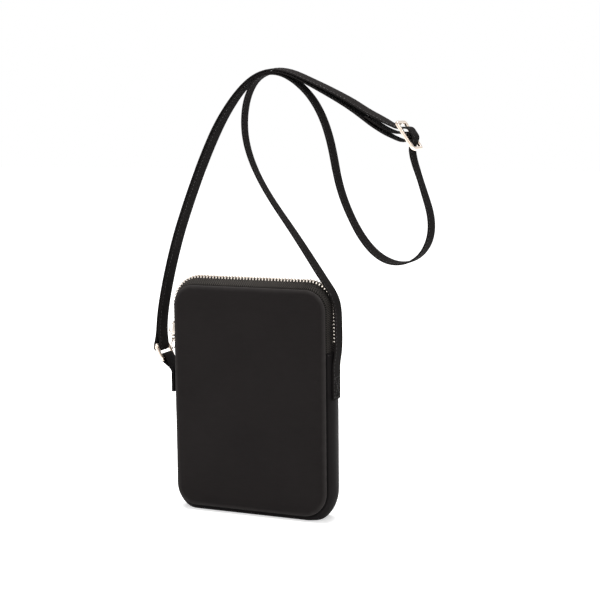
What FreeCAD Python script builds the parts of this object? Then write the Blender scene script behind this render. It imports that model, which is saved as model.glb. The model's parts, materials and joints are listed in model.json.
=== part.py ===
import FreeCAD
import Part
import math
import os

# Small upright crossbody bag with a wrap-round zip and one adjustable strap.
# Front faces -Y, +X is to the right seen from the front, +Z is up.
# The origin is the middle of the flat base that the bag stands on. Millimetres.

# Bag body
panel_width = 130.0
panel_height = 179.0
seam_height = 4.8
bag_depth = 25.0
top_corner_radius = 17.0
base_corner_left = 16.0
base_corner_right = 20.0
left_bulge = 5.2
right_bulge = 3.0
top_bulge = 5.7
base_bulge = 8.9

# Cloth, padding and lining
panel_cloth = 0.9
panel_crown = 2.8
crown_spread = 13.0
gusset_cloth = 1.0
foam_thickness = 2.0
lining_cloth = 0.4
binding_width = 4.0
binding_cloth = 0.8
sewing_gap = 0.1

# Zip
zip_end_height = 135.0
tape_gap = 1.2
tooth_pitch = 2.7
tooth_length = 1.15
tooth_width = 2.3
tooth_height = 1.1
tooth_channel = 1.0
tooth_seat = 0.02
stop_length = 1.7
stop_distance = 1.3
chain_margin = 4.2

# Zip slider and pull
slider_rise = 11.0
slider_length = 12.4
slider_width = 7.8
slider_plate = 1.2
slider_clearance = 0.3
slider_lip = 0.6
slider_corner = 2.0
neck_width = 0.6
neck_length = 1.6
bridge_width = 2.0
bridge_bar = 0.9
bridge_rise = 4.0
bridge_length = 8.6
pull_wire = 0.55
link_length = 6.0
link_width = 5.4
link_bend = 1.0
loop_length = 6.6
loop_width = 6.0
loop_bend = 2.2
loop_wire = 0.6
sleeve_radius = 1.15
sleeve_length = 2.6
pin_clearance = 0.05

# Left ring and its tab
ring_wire = 1.5
ring_pitch = 13.15
ring_width = 19.0
ring_bend = 2.6
ring_lean = 27.0
ring_standoff = 8.6
ring_drop = 13.7
tab_cloth = 1.2
tab_width = 14.0
tab_length = 26.3
tab_bend = 4.0
layer_gap = 0.15
sewn_gap = 0.05
bar_clearance = 0.15

# Strap
strap_width = 15.0
strap_thickness = 1.5
strap_arch = 161.9
strap_sewn_drop = 11.0
strap_sewn_length = 26.5
strap_lift = 5.0
strand_gap = 0.4
fold_slack = 1.5
fold_bend = 2.8

# Strap adjuster
adjuster_length = 25.6
adjuster_width = 21.6
adjuster_rail = 2.6
adjuster_corner = 2.4
adjuster_edge = 0.7
adjuster_bar = 1.3
adjuster_tilt = 56.0
hump_clearance = 0.4
hump_shoulder = 6.5
hump_foot = 1.0
upper_leg = 9.0
upper_leg_drop = 3.5
upper_leg_far = 15.5
upper_leg_far_drop = 7.3
lower_leg = 8.4
lower_leg_drop = 3.6
lower_leg_far = 13.7
lower_leg_far_drop = 9.0

# Stitching thread that stands on the cloth
thread_width = 0.5
thread_height = 0.3
stitch_inset = 1.6

# The padded panel's rise, as shares of its crown spread and of its crown
crown_shares = [(0, 0), (0.08, 0.42), (0.3, 0.78), (0.62, 0.95), (1, 1)]

# How far the ring's fold reaches towards the strap's first point
ring_fold_share = 0.5425

# How full a soft run of webbing is rounded between its points
arc_share = 0.45

# An edge this much along Z counts as upright
upright_share = 0.9
tiny = 1e-6

# The strap's points: a share of the span between ring and sewn end, and a share of its rise.
# At the crest share the strap is level with the top of the bag.
crest_share = 0.2587
long_run_shares = [
    (1.011, 0.006), (1.015, 0.050), (1.012, 0.105), (1.012, 0.165), (0.995, 0.210),
    (0.959, 0.243), (0.904, 0.298), (0.848, 0.356), (0.793, 0.411), (0.734, 0.468),
    (0.674, 0.524), (0.618, 0.582), (0.570, 0.642), (0.531, 0.706), (0.508, 0.774),
    (0.507, 0.842), (0.529, 0.908), (0.582, 0.958), (0.658, 0.984), (0.743, 0.978),
    (0.828, 0.944), (0.889, 0.897), (0.930, 0.847), (0.959, 0.797), (0.980, 0.745),
    (0.996, 0.692), (1.009, 0.639), (1.028, 0.586), (1.054, 0.535), (1.087, 0.485),
    (1.124, 0.437), (1.170, 0.392), (1.227, 0.354), (1.301, 0.329), (1.386, 0.331),
    (1.457, 0.363), (1.496, 0.414), (1.505, 0.468), (1.492, 0.521), (1.467, 0.570),
    (1.445, 0.620), (1.419, 0.670),
]

# Where two strands lie side by side, the line between them and how far they spread
pair_shares = [
    (0.009, 0.101, 1), (0.027, 0.173, 1), (0.055, 0.257, 1), (0.087, 0.340, 1),
    (0.124, 0.423, 1), (0.166, 0.502, 1), (0.210, 0.580, 1), (0.257, 0.658, 1),
    (0.307, 0.734, 1), (0.362, 0.809, 1), (0.427, 0.879, 1), (0.502, 0.943, 1),
    (0.585, 0.988, 1.2), (0.676, 1.006, 1.4), (0.769, 0.993, 1.25), (0.855, 0.964, 1.1),
    (0.938, 0.936, 1.6), (1.018, 0.907, 1.9), (1.096, 0.877, 2.3), (1.158, 0.847, 2.4),
]
upper_end_shares = [(1.221, 0.838)]
lower_end_shares = [(1.221, 0.801), (1.283, 0.774), (1.335, 0.758), (1.361, 0.752)]
fold_tail_shares = [(1.326, 0.780), (1.279, 0.792), (1.226, 0.812), (1.175, 0.837)]
adjuster_place_share = (1.386, 0.771)

Vector = FreeCAD.Vector
axis_y = Vector(0, 1, 0)
axis_x = Vector(1, 0, 0)
axis_z = Vector(0, 0, 1)
os.makedirs("parts", exist_ok=True)

half_depth = bag_depth / 2
ring_height = zip_end_height - ring_drop
tab_low = ring_height - tab_length
strap_sewn_high = zip_end_height - strap_sewn_drop
strap_sewn_low = strap_sewn_high - strap_sewn_length
left_crest = -panel_width / 2 - left_bulge
right_crest = panel_width / 2 + right_bulge
top_crest = seam_height + panel_height + top_bulge


def save(name, shape):
    shape.exportStep("parts/" + name + ".step")


def unit(dx, dz):
    length = math.hypot(dx, dz)
    return dx / length, dz / length


def in_plane(point, y):
    return Vector(point[0], y, point[1])


def turned(vector, angle):
    c = math.cos(angle)
    s = math.sin(angle)
    return (vector[0] * c - vector[1] * s, vector[0] * s + vector[1] * c)


# Paths in the XZ plane


def tangent_path(points, radii):
    """Straight runs joined by tangent arcs, each piece as start, end, arc centre, turn."""
    pieces = []
    start = points[0]
    for before, corner, after, radius in zip(points, points[1:], points[2:], radii):
        a = unit(corner[0] - before[0], corner[1] - before[1])
        b = unit(after[0] - corner[0], after[1] - corner[1])
        turn = math.atan2(a[0] * b[1] - a[1] * b[0], a[0] * b[0] + a[1] * b[1])
        reach = radius * math.tan(abs(turn) / 2)
        enter = (corner[0] - a[0] * reach, corner[1] - a[1] * reach)
        leave = (corner[0] + b[0] * reach, corner[1] + b[1] * reach)
        side = math.copysign(radius, turn)
        centre = (enter[0] - a[1] * side, enter[1] + a[0] * side)
        pieces.append((start, enter, None, 0))
        pieces.append((enter, leave, centre, turn))
        start = leave
    pieces.append((start, points[-1], None, 0))
    return pieces


def widest_radii(points):
    """The largest easy arc at each inner point of a soft run."""
    radii = []
    for before, corner, after in zip(points, points[1:], points[2:]):
        a = (corner[0] - before[0], corner[1] - before[1])
        b = (after[0] - corner[0], after[1] - corner[1])
        turn = abs(math.atan2(a[0] * b[1] - a[1] * b[0], a[0] * b[0] + a[1] * b[1]))
        run = min(math.hypot(*a), math.hypot(*b))
        radii.append(arc_share * run / math.tan(max(turn, tiny) / 2))
    return radii


def offset_edges(pieces, offset, y):
    """The path's edges moved sideways, positive to the left of its direction."""
    edges = []
    for start, end, centre, turn in pieces:
        if centre is None:
            if math.dist(start, end) < tiny:
                continue
            dx, dz = unit(end[0] - start[0], end[1] - start[1])
            p = (start[0] - dz * offset, start[1] + dx * offset)
            q = (end[0] - dz * offset, end[1] + dx * offset)
            edges.append(Part.makeLine(in_plane(p, y), in_plane(q, y)))
            continue
        arm = (start[0] - centre[0], start[1] - centre[1])
        radius = math.hypot(*arm)
        scale = 1 - math.copysign(offset, offset * turn) / radius
        spots = []
        for part in (0, turn / 2, turn):
            spoke = turned(arm, part)
            spot = (centre[0] + spoke[0] * scale, centre[1] + spoke[1] * scale)
            spots.append(in_plane(spot, y))
        edges.append(Part.Arc(*spots).toShape())
    return edges


def ribbon(points, radii, thickness, width):
    """Flat webbing of a thickness along a path in the XZ plane, its width along Y."""
    pieces = tangent_path(points, radii)
    left = offset_edges(pieces, thickness / 2, -width / 2)
    right = offset_edges(pieces, -thickness / 2, -width / 2)
    start_cap = Part.makeLine(right[0].Vertexes[0].Point, left[0].Vertexes[0].Point)
    end_cap = Part.makeLine(left[-1].Vertexes[-1].Point, right[-1].Vertexes[-1].Point)
    face = Part.Face(Part.Wire(left + [end_cap] + right[::-1] + [start_cap]))
    return face.extrude(Vector(0, width, 0))


def path_length(points, radii):
    length = 0
    for start, end, centre, turn in tangent_path(points, radii):
        if centre is None:
            length += math.dist(start, end)
        else:
            length += abs(turn) * math.dist(start, centre)
    return length


def fold_points(centre, direction, radius, reach, half_gap):
    """Points of a fold that wraps a round bar and closes to a narrow gap behind it.

    It comes in on the right of its direction and leaves on the left.
    """
    dx, dz = direction
    far = math.hypot(reach, half_gap)
    lean = math.asin(radius / far) - math.atan(half_gap / reach)
    high = radius * (1 + math.sin(lean)) / math.cos(lean)
    table = [(-reach, -half_gap), (radius, -high), (radius, high), (-reach, half_gap)]
    return [(centre[0] + a * dx - b * dz, centre[1] + a * dz + b * dx) for a, b in table]


# The bag's body


def outline(y, left, right, top, base):
    """Rounded upright outline at one depth, grown outward from the panels' seam line."""
    x0 = -panel_width / 2 - left
    x1 = panel_width / 2 + right
    z0 = seam_height - base
    z1 = seam_height + panel_height + top
    middle = (x0 + x1) / 2
    points = [(middle, z0), (x1, z0), (x1, z1), (x0, z1), (x0, z0), (middle, z0)]
    radii = [
        base_corner_right + (right + base) / 2,
        top_corner_radius + (right + top) / 2,
        top_corner_radius + (left + top) / 2,
        base_corner_left + (left + base) / 2,
    ]
    return Part.Wire(offset_edges(tangent_path(points, radii), 0, y))


def inset_outline(y, inset):
    return outline(y, -inset, -inset, -inset, -inset)


def bulged_tube(inset):
    """Solid inside the gusset's crown, drawn in by an inset."""
    wires = []
    for step in (-4, -3, -2, -1, 0, 1, 2, 3, 4):
        along = step / 4
        swell = 1 - along * along
        grown = [bulge * swell - inset for bulge in (left_bulge, right_bulge, top_bulge, base_bulge)]
        wires.append(outline(along * half_depth, *grown))
    return Part.makeLoft(wires, True, False)


def slab(low, high):
    """Block between two corners."""
    return Part.makeBox(high[0] - low[0], high[1] - low[1], high[2] - low[2], Vector(*low))


reach_x = panel_width
reach_z = panel_height + seam_height + top_bulge + base_bulge


def above(height, top=reach_z):
    return slab((-reach_x, -bag_depth, height), (reach_x, bag_depth, top))


def gusset_skin(outer_inset, cloth, floor, low, high, depth):
    """Ring of cloth round the bag between two insets, cut flat at its floor."""
    ring = bulged_tube(outer_inset).common(above(floor))
    hollow = bulged_tube(outer_inset + cloth).common(above(floor + cloth))
    block = slab((-reach_x, -depth, low), (reach_x, depth, high))
    return ring.cut(hollow).common(block)


def crowned_plate(inset, crown):
    """Solid between the front seam plane and a padded, crowned surface."""
    wires = []
    for inset_share, crown_share in crown_shares:
        depth = -half_depth - crown * crown_share
        wires.append(inset_outline(depth, inset + inset_share * crown_spread))
    return Part.makeLoft(wires, True, False)


def front_panel():
    tray = crowned_plate(0, panel_crown)
    return tray.cut(crowned_plate(panel_cloth, panel_crown - panel_cloth))


def front_foam():
    inset = gusset_cloth + sewing_gap
    plate = Part.Face(inset_outline(-half_depth, inset)).extrude(Vector(0, foam_thickness, 0))
    return plate.fuse(crowned_plate(inset, panel_crown - panel_cloth - sewing_gap)).removeSplitter()


def front_lining():
    inset = gusset_cloth + sewing_gap
    face = Part.Face(inset_outline(-half_depth + foam_thickness, inset))
    return face.extrude(Vector(0, lining_cloth, 0))


def front_binding():
    inset = gusset_cloth + sewing_gap
    depth = -half_depth + foam_thickness + lining_cloth
    outer = Part.Face(inset_outline(depth, inset))
    inner = Part.Face(inset_outline(depth, inset + binding_width))
    return outer.cut(inner).extrude(Vector(0, binding_cloth, 0))


def to_back(shape):
    return shape.mirror(Vector(0, 0, 0), axis_y)


# The zip's crest line round the top of the bag

corner_left = top_corner_radius + (left_bulge + top_bulge) / 2
corner_right = top_corner_radius + (right_bulge + top_bulge) / 2
crest_points = [
    (left_crest, zip_end_height),
    (left_crest, top_crest),
    (right_crest, top_crest),
    (right_crest, zip_end_height),
]
crest_path = tangent_path(crest_points, [corner_left, corner_right])
crest_length = path_length(crest_points, [corner_left, corner_right])


def crest_place(distance):
    """Placement at a distance along the crest: X along it, Z outward from the bag."""
    for start, end, centre, turn in crest_path:
        if centre is None:
            run = math.dist(start, end)
        else:
            run = abs(turn) * math.dist(start, centre)
        if distance <= run:
            break
        distance -= run
    if centre is None:
        tx, tz = unit(end[0] - start[0], end[1] - start[1])
        spot = (start[0] + tx * distance, start[1] + tz * distance)
    else:
        angle = turn * distance / run
        spoke = turned((start[0] - centre[0], start[1] - centre[1]), angle)
        spot = (centre[0] + spoke[0], centre[1] + spoke[1])
        sx, sz = unit(*spoke)
        tx, tz = (sz, -sx)
    turn_y = math.degrees(math.atan2(-tz, tx))
    return FreeCAD.Placement(in_plane(spot, 0), FreeCAD.Rotation(axis_y, turn_y))


def tooth(side, length, width):
    """One moulded tooth across the tape's edge, its profile drawn across the crest."""
    near = tooth_channel / 2
    far = near + width
    shoulder = tooth_height / 2
    profile = [
        (near, tooth_seat),
        (far, tooth_seat),
        (far, shoulder),
        (far - shoulder, tooth_height),
        (near + shoulder / 2, tooth_height),
        (near, shoulder),
    ]
    corners = [Vector(-length / 2, side * w, n) for w, n in profile]
    face = Part.Face(Part.makePolygon(corners + corners[:1]))
    return face.extrude(Vector(length, 0, 0))


def teeth(side, first):
    count = int((crest_length - 2 * chain_margin) / tooth_pitch)
    row = []
    for index in range(count):
        one = tooth(side, tooth_length, tooth_width)
        one.Placement = crest_place(first + index * tooth_pitch)
        row.append(one)
    return Part.makeCompound(row)


def placed(shape, distance):
    shape.Placement = crest_place(distance)
    return shape


def top_stops():
    return Part.makeCompound(
        [placed(tooth(side, stop_length, tooth_width), stop_distance) for side in (-1, 1)]
    )


def bottom_stop():
    width = tooth_channel / 2 + tooth_width
    block = Part.makeBox(
        stop_length, 2 * width, tooth_height, Vector(-stop_length / 2, -width, tooth_seat)
    )
    return placed(block, crest_length - stop_distance)


# The slider, drawn with X along the chain, Y across it and Z outward from the crest


def centred_box(length, width, low, high, shift=0):
    corner = Vector(shift - length / 2, -width / 2, low)
    return Part.makeBox(length, width, high - low, corner)


plate_low = tooth_height + slider_clearance
plate_high = plate_low + slider_plate
pin_height = plate_high + pull_wire + slider_clearance
hinge_shift = -bridge_length / 2 + bridge_bar + pull_wire + slider_clearance


def round_upright_edges(shape, radius):
    edges = [e for e in shape.Edges if abs(e.tangentAt(e.FirstParameter).z) > upright_share]
    return shape.makeFillet(radius, edges)


def slider():
    half_tape = slider_width / 2 / half_depth
    tape_drop = left_bulge * half_tape * half_tape
    inner_high = -gusset_cloth - tape_drop - slider_clearance
    top_plate = round_upright_edges(
        centred_box(slider_length, slider_width, plate_low, plate_high), slider_corner
    )
    inner_plate = round_upright_edges(
        centred_box(slider_length, slider_width, inner_high - slider_plate, inner_high), slider_corner
    )
    neck_shift = -slider_length / 2 + neck_length
    neck = centred_box(neck_length, neck_width, inner_high, plate_low, neck_shift)
    pieces = [top_plate, inner_plate, neck]
    lip_length = slider_length - 2 * slider_corner
    for side in (-1, 1):
        lip = centred_box(lip_length, slider_lip, slider_clearance, plate_low)
        lip.translate(Vector(0, side * (slider_width - slider_lip) / 2, 0))
        pieces.append(lip)
    arch_high = plate_high + bridge_rise + bridge_bar
    arch = centred_box(bridge_length, bridge_width, plate_high, arch_high)
    window = centred_box(
        bridge_length - 2 * bridge_bar, slider_width, plate_high, plate_high + bridge_rise
    )
    pieces.append(arch.cut(window))
    return pieces[0].multiFuse(pieces[1:]).removeSplitter()


def wire_frame(length, width, radius, bend):
    """Closed rectangular frame of round wire, flat in XY about the origin."""
    bars = []
    for side in (-1, 1):
        across = Vector(side * length / 2, bend - width / 2, 0)
        along = Vector(bend - length / 2, side * width / 2, 0)
        bars.append(Part.makeCylinder(radius, width - 2 * bend, across, axis_y))
        bars.append(Part.makeCylinder(radius, length - 2 * bend, along, axis_x))
        for other in (-1, 1):
            centre = Vector(side * (length / 2 - bend), other * (width / 2 - bend), 0)
            start = centre + Vector(side * bend, 0, 0)
            disc = Part.Face(Part.Wire(Part.makeCircle(radius, start, axis_y)))
            bars.append(disc.revolve(centre, axis_z, side * other * 90))
    return bars[0].multiFuse(bars[1:]).removeSplitter()


def pull_link():
    frame = wire_frame(link_length, link_width, pull_wire, link_bend)
    frame.translate(Vector(hinge_shift - link_length / 2, 0, pin_height))
    return frame


def pull_loop():
    """Sleeve that turns on the link's lower bar, with a wire loop below it."""
    pin = Vector(hinge_shift - link_length, -sleeve_length / 2, pin_height)
    sleeve = Part.makeCylinder(sleeve_radius, sleeve_length, pin, axis_y)
    frame = wire_frame(loop_length, loop_width, loop_wire, loop_bend)
    drop = sleeve_radius + loop_length / 2
    frame.translate(Vector(pin.x - drop, 0, pin_height))
    bore = Part.makeCylinder(pull_wire + pin_clearance, sleeve_length, pin, axis_y)
    return sleeve.fuse(frame).cut(bore).removeSplitter()


def at_slider(shape):
    moved = shape.copy()
    moved.Placement = crest_place(slider_rise).multiply(moved.Placement)
    return moved


# The left ring, its tab and the strap

ring_low = (left_crest - ring_standoff, ring_height)
ring_direction = (-math.sin(math.radians(ring_lean)), math.cos(math.radians(ring_lean)))
ring_high = (
    ring_low[0] + ring_direction[0] * ring_pitch,
    ring_low[1] + ring_direction[1] * ring_pitch,
)


def ring():
    frame = wire_frame(ring_pitch, ring_width, ring_wire, ring_bend)
    middle = ((ring_low[0] + ring_high[0]) / 2, (ring_low[1] + ring_high[1]) / 2)
    turn_y = math.degrees(math.atan2(-ring_direction[1], ring_direction[0]))
    frame.Placement = FreeCAD.Placement(in_plane(middle, 0), FreeCAD.Rotation(axis_y, turn_y))
    return frame


tab_inner = left_crest - sewn_gap - tab_cloth / 2
tab_outer = tab_inner - tab_cloth - layer_gap
tab_radius = ring_wire + bar_clearance + tab_cloth / 2


def tab_points():
    """Up the gusset, round the ring's lower bar and back down over itself."""
    foot = ((tab_inner + tab_outer) / 2, ring_height - ring_standoff)
    direction = unit(ring_low[0] - foot[0], ring_low[1] - foot[1])
    half_turn = math.atan2(-direction[0], direction[1]) / 2
    side = ((tab_cloth + layer_gap) / 2, (tab_cloth + layer_gap) / 2 * math.tan(half_turn))
    reach = math.dist(foot, ring_low) - tab_bend
    wrap = fold_points(ring_low, direction, tab_radius, reach, side[0])
    rise = (foot[0] + side[0], foot[1] + side[1])
    fall = (foot[0] - side[0], foot[1] - side[1])
    return [(tab_inner, tab_low), rise] + wrap + [fall, (tab_outer, tab_low)]


def tab():
    half = (tab_cloth + layer_gap) / 2
    outer_bend = tab_bend + half
    inner_bend = tab_bend - half
    radii = [outer_bend, tab_bend, tab_radius, tab_radius, tab_bend, inner_bend]
    return ribbon(tab_points(), radii, tab_cloth, tab_width)


def thread_frame(low, high, width):
    """Rectangle of thread lying flat in YZ, from x = 0 outward."""
    outer = slab((0, -width / 2, low), (thread_height, width / 2, high))
    inner = slab(
        (0, thread_width - width / 2, low + thread_width),
        (thread_height, width / 2 - thread_width, high - thread_width),
    )
    return outer.cut(inner)


def tab_stitches():
    low = tab_low + stitch_inset
    high = ring_height - ring_standoff - tab_bend - stitch_inset
    frame = thread_frame(low, high, tab_width - 2 * stitch_inset)
    frame.translate(Vector(tab_outer - tab_cloth / 2 - thread_height, 0, 0))
    return frame


right_end = right_crest + sewn_gap + strap_thickness / 2
strap_span = right_end - ring_high[0]


def route_point(share):
    """A point of the strap: below the crest share it follows the bag, above it the arch."""
    if share[1] < crest_share:
        height = ring_high[1] + (top_crest - ring_high[1]) * share[1] / crest_share
    else:
        height = top_crest + strap_arch * (share[1] - crest_share) / (1 - crest_share)
    return (ring_high[0] + share[0] * strap_span, height)


adjuster_place = route_point(adjuster_place_share)
tilt = math.radians(adjuster_tilt)


def at_adjuster(along, above_bars):
    """A point from the adjuster's middle bar, along its length and out of its plane."""
    return (
        adjuster_place[0] + along * math.cos(tilt) + above_bars * math.sin(tilt),
        adjuster_place[1] - along * math.sin(tilt) + above_bars * math.cos(tilt),
    )


def beside(points, offsets):
    """The points of a strand that runs beside a line of points, left of it if positive."""
    moved = []
    for index, (point, offset) in enumerate(zip(points, offsets)):
        before = points[max(index - 1, 0)]
        after = points[min(index + 1, len(points) - 1)]
        dx, dz = unit(after[0] - before[0], after[1] - before[1])
        moved.append((point[0] - dz * offset, point[1] + dx * offset))
    return moved


strand_offset = (strap_thickness + strand_gap) / 2
pair_points = [route_point(share[:2]) for share in pair_shares]
outer_strand = beside(pair_points, [strand_offset * share[2] for share in pair_shares])
inner_strand = beside(pair_points, [-strand_offset * share[2] for share in pair_shares])
wrap_radius = ring_wire + bar_clearance + strap_thickness / 2
bar_radius = adjuster_bar + bar_clearance + strap_thickness / 2
hump = bar_radius + strap_thickness + hump_clearance


def middle_of(a, b):
    return ((a[0] + b[0]) / 2, (a[1] + b[1]) / 2)


outer_cut = middle_of(outer_strand[0], outer_strand[1])
inner_cut = middle_of(inner_strand[0], inner_strand[1])


def ring_fold_points():
    """Down the outer strand, round the ring's upper bar and up the inner strand."""
    up = unit(pair_points[0][0] - ring_high[0], pair_points[0][1] - ring_high[1])
    down = (-up[0], -up[1])
    reach = ring_fold_share * math.dist(pair_points[0], ring_high)
    wrap = fold_points(ring_high, down, wrap_radius, reach, strand_offset)
    return [outer_cut, outer_strand[0]] + wrap + [inner_strand[0], inner_cut]


def ring_fold():
    points = ring_fold_points()
    radii = widest_radii(points)
    radii[2] = wrap_radius
    radii[3] = wrap_radius
    return points, radii


def long_run():
    """From the sewn end over the top, round the loose loop, through the adjuster, to the ring."""
    points = [(right_end, strap_sewn_low), (right_end, strap_sewn_high)]
    points += [route_point(share) for share in long_run_shares]
    points += [
        at_adjuster(lower_leg_far, -lower_leg_far_drop),
        at_adjuster(lower_leg, -lower_leg_drop),
        at_adjuster(hump_shoulder, hump_foot),
        at_adjuster(hump, hump),
        at_adjuster(-hump, hump),
        at_adjuster(-hump_shoulder, hump_foot),
        at_adjuster(-upper_leg, -upper_leg_drop),
        at_adjuster(-upper_leg_far, -upper_leg_far_drop),
    ]
    points += [route_point(share) for share in upper_end_shares]
    points += outer_strand[:0:-1] + [outer_cut]
    return points, widest_radii(points)


def inner_run():
    """From the ring up beside the outer strand, loosely round the adjuster's bar and back."""
    points = [inner_cut] + inner_strand[1:]
    points += [route_point(share) for share in lower_end_shares]
    right_of_bar = adjuster_place[0] + bar_radius
    points.append((right_of_bar, adjuster_place[1] - bar_radius - fold_slack))
    points.append((right_of_bar, adjuster_place[1] + bar_radius))
    points += [route_point(share) for share in fold_tail_shares]
    radii = widest_radii(points)
    radii[-len(fold_tail_shares)] = bar_radius
    radii[-len(fold_tail_shares) - 1] = fold_bend
    return points, radii


def strap_end_stitches():
    low = strap_sewn_low + stitch_inset
    high = strap_sewn_high - strap_lift - stitch_inset
    frame = thread_frame(low, high, strap_width - 2 * stitch_inset)
    frame.translate(Vector(right_end + strap_thickness / 2, 0, 0))
    return frame


def adjuster():
    """Flat rounded frame with a round bar across its middle."""
    half = adjuster_rail / 2
    outer = round_upright_edges(
        centred_box(adjuster_length, adjuster_width, -half, half), adjuster_corner
    )
    inner = centred_box(
        adjuster_length - 2 * adjuster_rail, adjuster_width - 2 * adjuster_rail, -half, half
    )
    frame = outer.cut(inner)
    edges = [e for e in frame.Edges if abs(abs(e.CenterOfMass.z) - half) < tiny]
    frame = frame.makeFillet(adjuster_edge, edges)
    bar_length = adjuster_width - adjuster_rail
    bar = Part.makeCylinder(adjuster_bar, bar_length, Vector(0, -bar_length / 2, 0), axis_y)
    frame = frame.fuse(bar).removeSplitter()
    rotation = FreeCAD.Rotation(axis_y, adjuster_tilt)
    frame.Placement = FreeCAD.Placement(in_plane(adjuster_place, 0), rotation)
    return frame


def fold_stitches(before, end):
    """Two rows of thread across the folded end, on its upper face."""
    dx, dz = unit(end[0] - before[0], end[1] - before[1])
    length = strap_width - 2 * stitch_inset
    face = -strap_thickness / 2 - thread_height
    rows = []
    for row in (2, 4):
        corner = Vector(-thread_width * row, -length / 2, face)
        rows.append(Part.makeBox(thread_width, length, thread_height, corner))
    stitches = Part.makeCompound(rows)
    turn_y = math.degrees(math.atan2(-dz, dx))
    stitches.Placement = FreeCAD.Placement(in_plane(end, 0), FreeCAD.Rotation(axis_y, turn_y))
    return stitches


upper_gusset = gusset_skin(0, gusset_cloth, 0, zip_end_height, reach_z, bag_depth)
front_half = slab((-reach_x, -bag_depth, 0), (reach_x, -tape_gap / 2, reach_z))
tape_front = upper_gusset.common(front_half)
inner_depth = half_depth - foam_thickness - lining_cloth
lining_inset = gusset_cloth + sewing_gap
long_points, long_radii = long_run()
inner_points, inner_radii = inner_run()
fold_path, fold_radii = ring_fold()

save("front_panel", front_panel())
save("back_panel", to_back(front_panel()))
save("front_foam", front_foam())
save("back_foam", to_back(front_foam()))
save("front_lining", front_lining())
save("back_lining", to_back(front_lining()))
save("front_seam_binding", front_binding())
save("back_seam_binding", to_back(front_binding()))
save("lower_gusset", gusset_skin(0, gusset_cloth, 0, 0, zip_end_height, bag_depth))
save(
    "gusset_lining",
    gusset_skin(lining_inset, lining_cloth, lining_inset, lining_inset, zip_end_height, inner_depth),
)
save("zip_tape_front", tape_front)
save("zip_tape_back", to_back(tape_front))
save("zip_teeth_front", teeth(-1, chain_margin))
save("zip_teeth_back", teeth(1, chain_margin + tooth_pitch / 2))
save("zip_top_stops", top_stops())
save("zip_bottom_stop", bottom_stop())
save("zip_slider", at_slider(slider()))
save("zip_pull_link", at_slider(pull_link()))
save("zip_pull_loop", at_slider(pull_loop()))
save("left_tab", tab())
save("tab_stitches", tab_stitches())
save("left_ring", ring())
save("strap_long_run", ribbon(long_points, long_radii, strap_thickness, strap_width))
save("strap_inner_run", ribbon(inner_points, inner_radii, strap_thickness, strap_width))
save("strap_ring_fold", ribbon(fold_path, fold_radii, strap_thickness, strap_width))
save("strap_end_stitches", strap_end_stitches())
save("strap_fold_stitches", fold_stitches(*inner_points[-2:]))
save("strap_adjuster", adjuster())

pin = crest_place(slider_rise)
print("strap length", round(sum(
    path_length(points, radii)
    for points, radii in (
        (long_points, long_radii), (inner_points, inner_radii), (fold_path, fold_radii)
    )
), 1))
print("ring pivot", ring_low, "ring top bar", ring_high)
print("link pin", pin.multVec(Vector(hinge_shift, 0, pin_height)))
print("loop pin", pin.multVec(Vector(hinge_shift - link_length, 0, pin_height)))
print("adjuster bar", adjuster_place)
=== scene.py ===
import json
import math

import bmesh
import bpy
import numpy as np
from mathutils import Matrix, Vector, noise


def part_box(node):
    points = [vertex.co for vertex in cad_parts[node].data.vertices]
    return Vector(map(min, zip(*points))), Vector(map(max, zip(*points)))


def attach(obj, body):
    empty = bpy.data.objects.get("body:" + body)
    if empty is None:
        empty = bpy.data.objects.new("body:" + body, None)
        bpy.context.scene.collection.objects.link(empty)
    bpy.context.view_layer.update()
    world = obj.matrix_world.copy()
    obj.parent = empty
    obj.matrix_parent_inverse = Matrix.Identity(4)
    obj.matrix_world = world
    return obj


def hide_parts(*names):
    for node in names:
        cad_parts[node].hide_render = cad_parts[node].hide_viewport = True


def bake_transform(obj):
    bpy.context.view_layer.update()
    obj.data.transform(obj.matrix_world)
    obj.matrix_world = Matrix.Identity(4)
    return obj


# Small padded crossbody bag. Front faces -Y, +X is to the right seen from the front. Metres.

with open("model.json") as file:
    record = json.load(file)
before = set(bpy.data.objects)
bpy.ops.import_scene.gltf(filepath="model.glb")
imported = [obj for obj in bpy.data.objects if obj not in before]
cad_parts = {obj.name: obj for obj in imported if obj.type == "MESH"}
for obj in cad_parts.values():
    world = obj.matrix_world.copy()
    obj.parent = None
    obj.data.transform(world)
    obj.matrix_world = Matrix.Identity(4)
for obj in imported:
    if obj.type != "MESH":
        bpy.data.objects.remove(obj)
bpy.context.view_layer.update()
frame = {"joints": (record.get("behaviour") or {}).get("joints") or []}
mm = 0.001
x_axis, y_axis, z_axis = Vector((1, 0, 0)), Vector((0, 1, 0)), Vector((0, 0, 1))

# Camera: where the photograph was taken from
camera_azimuth = math.radians(22.97)
camera_elevation = math.radians(7.70)
camera_roll = math.radians(-0.59)
camera_distance = 1.097
camera_target = Vector((0.0387, 0, 0.1741))
focal_pixels = 1406.0
frame_pixels = 600.0
sensor = 36.0


def put_object(name, data):
    made = bpy.data.objects.new(name, data)
    bpy.context.scene.collection.objects.link(made)
    return made


def placed(place, along, across, out):
    """A matrix that starts at a place and takes X, Y and Z to three directions."""
    return Matrix.Translation(place) @ Matrix((along, across, out)).transposed().to_4x4()


def make_camera():
    a, e = camera_azimuth, camera_elevation
    back = Vector((math.sin(a) * math.cos(e), -math.cos(a) * math.cos(e), math.sin(e)))
    level = Vector((math.cos(a), math.sin(a), 0))
    upright = back.cross(level)
    right = level * math.cos(camera_roll) + upright * math.sin(camera_roll)
    up = upright * math.cos(camera_roll) - level * math.sin(camera_roll)
    data = bpy.data.cameras.new("camera")
    data.sensor_width = sensor
    data.lens = focal_pixels / frame_pixels * sensor
    camera = put_object("camera", data)
    camera.matrix_world = placed(camera_target + back * camera_distance, right, up, back)
    bpy.context.scene.camera = camera


make_camera()

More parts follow.
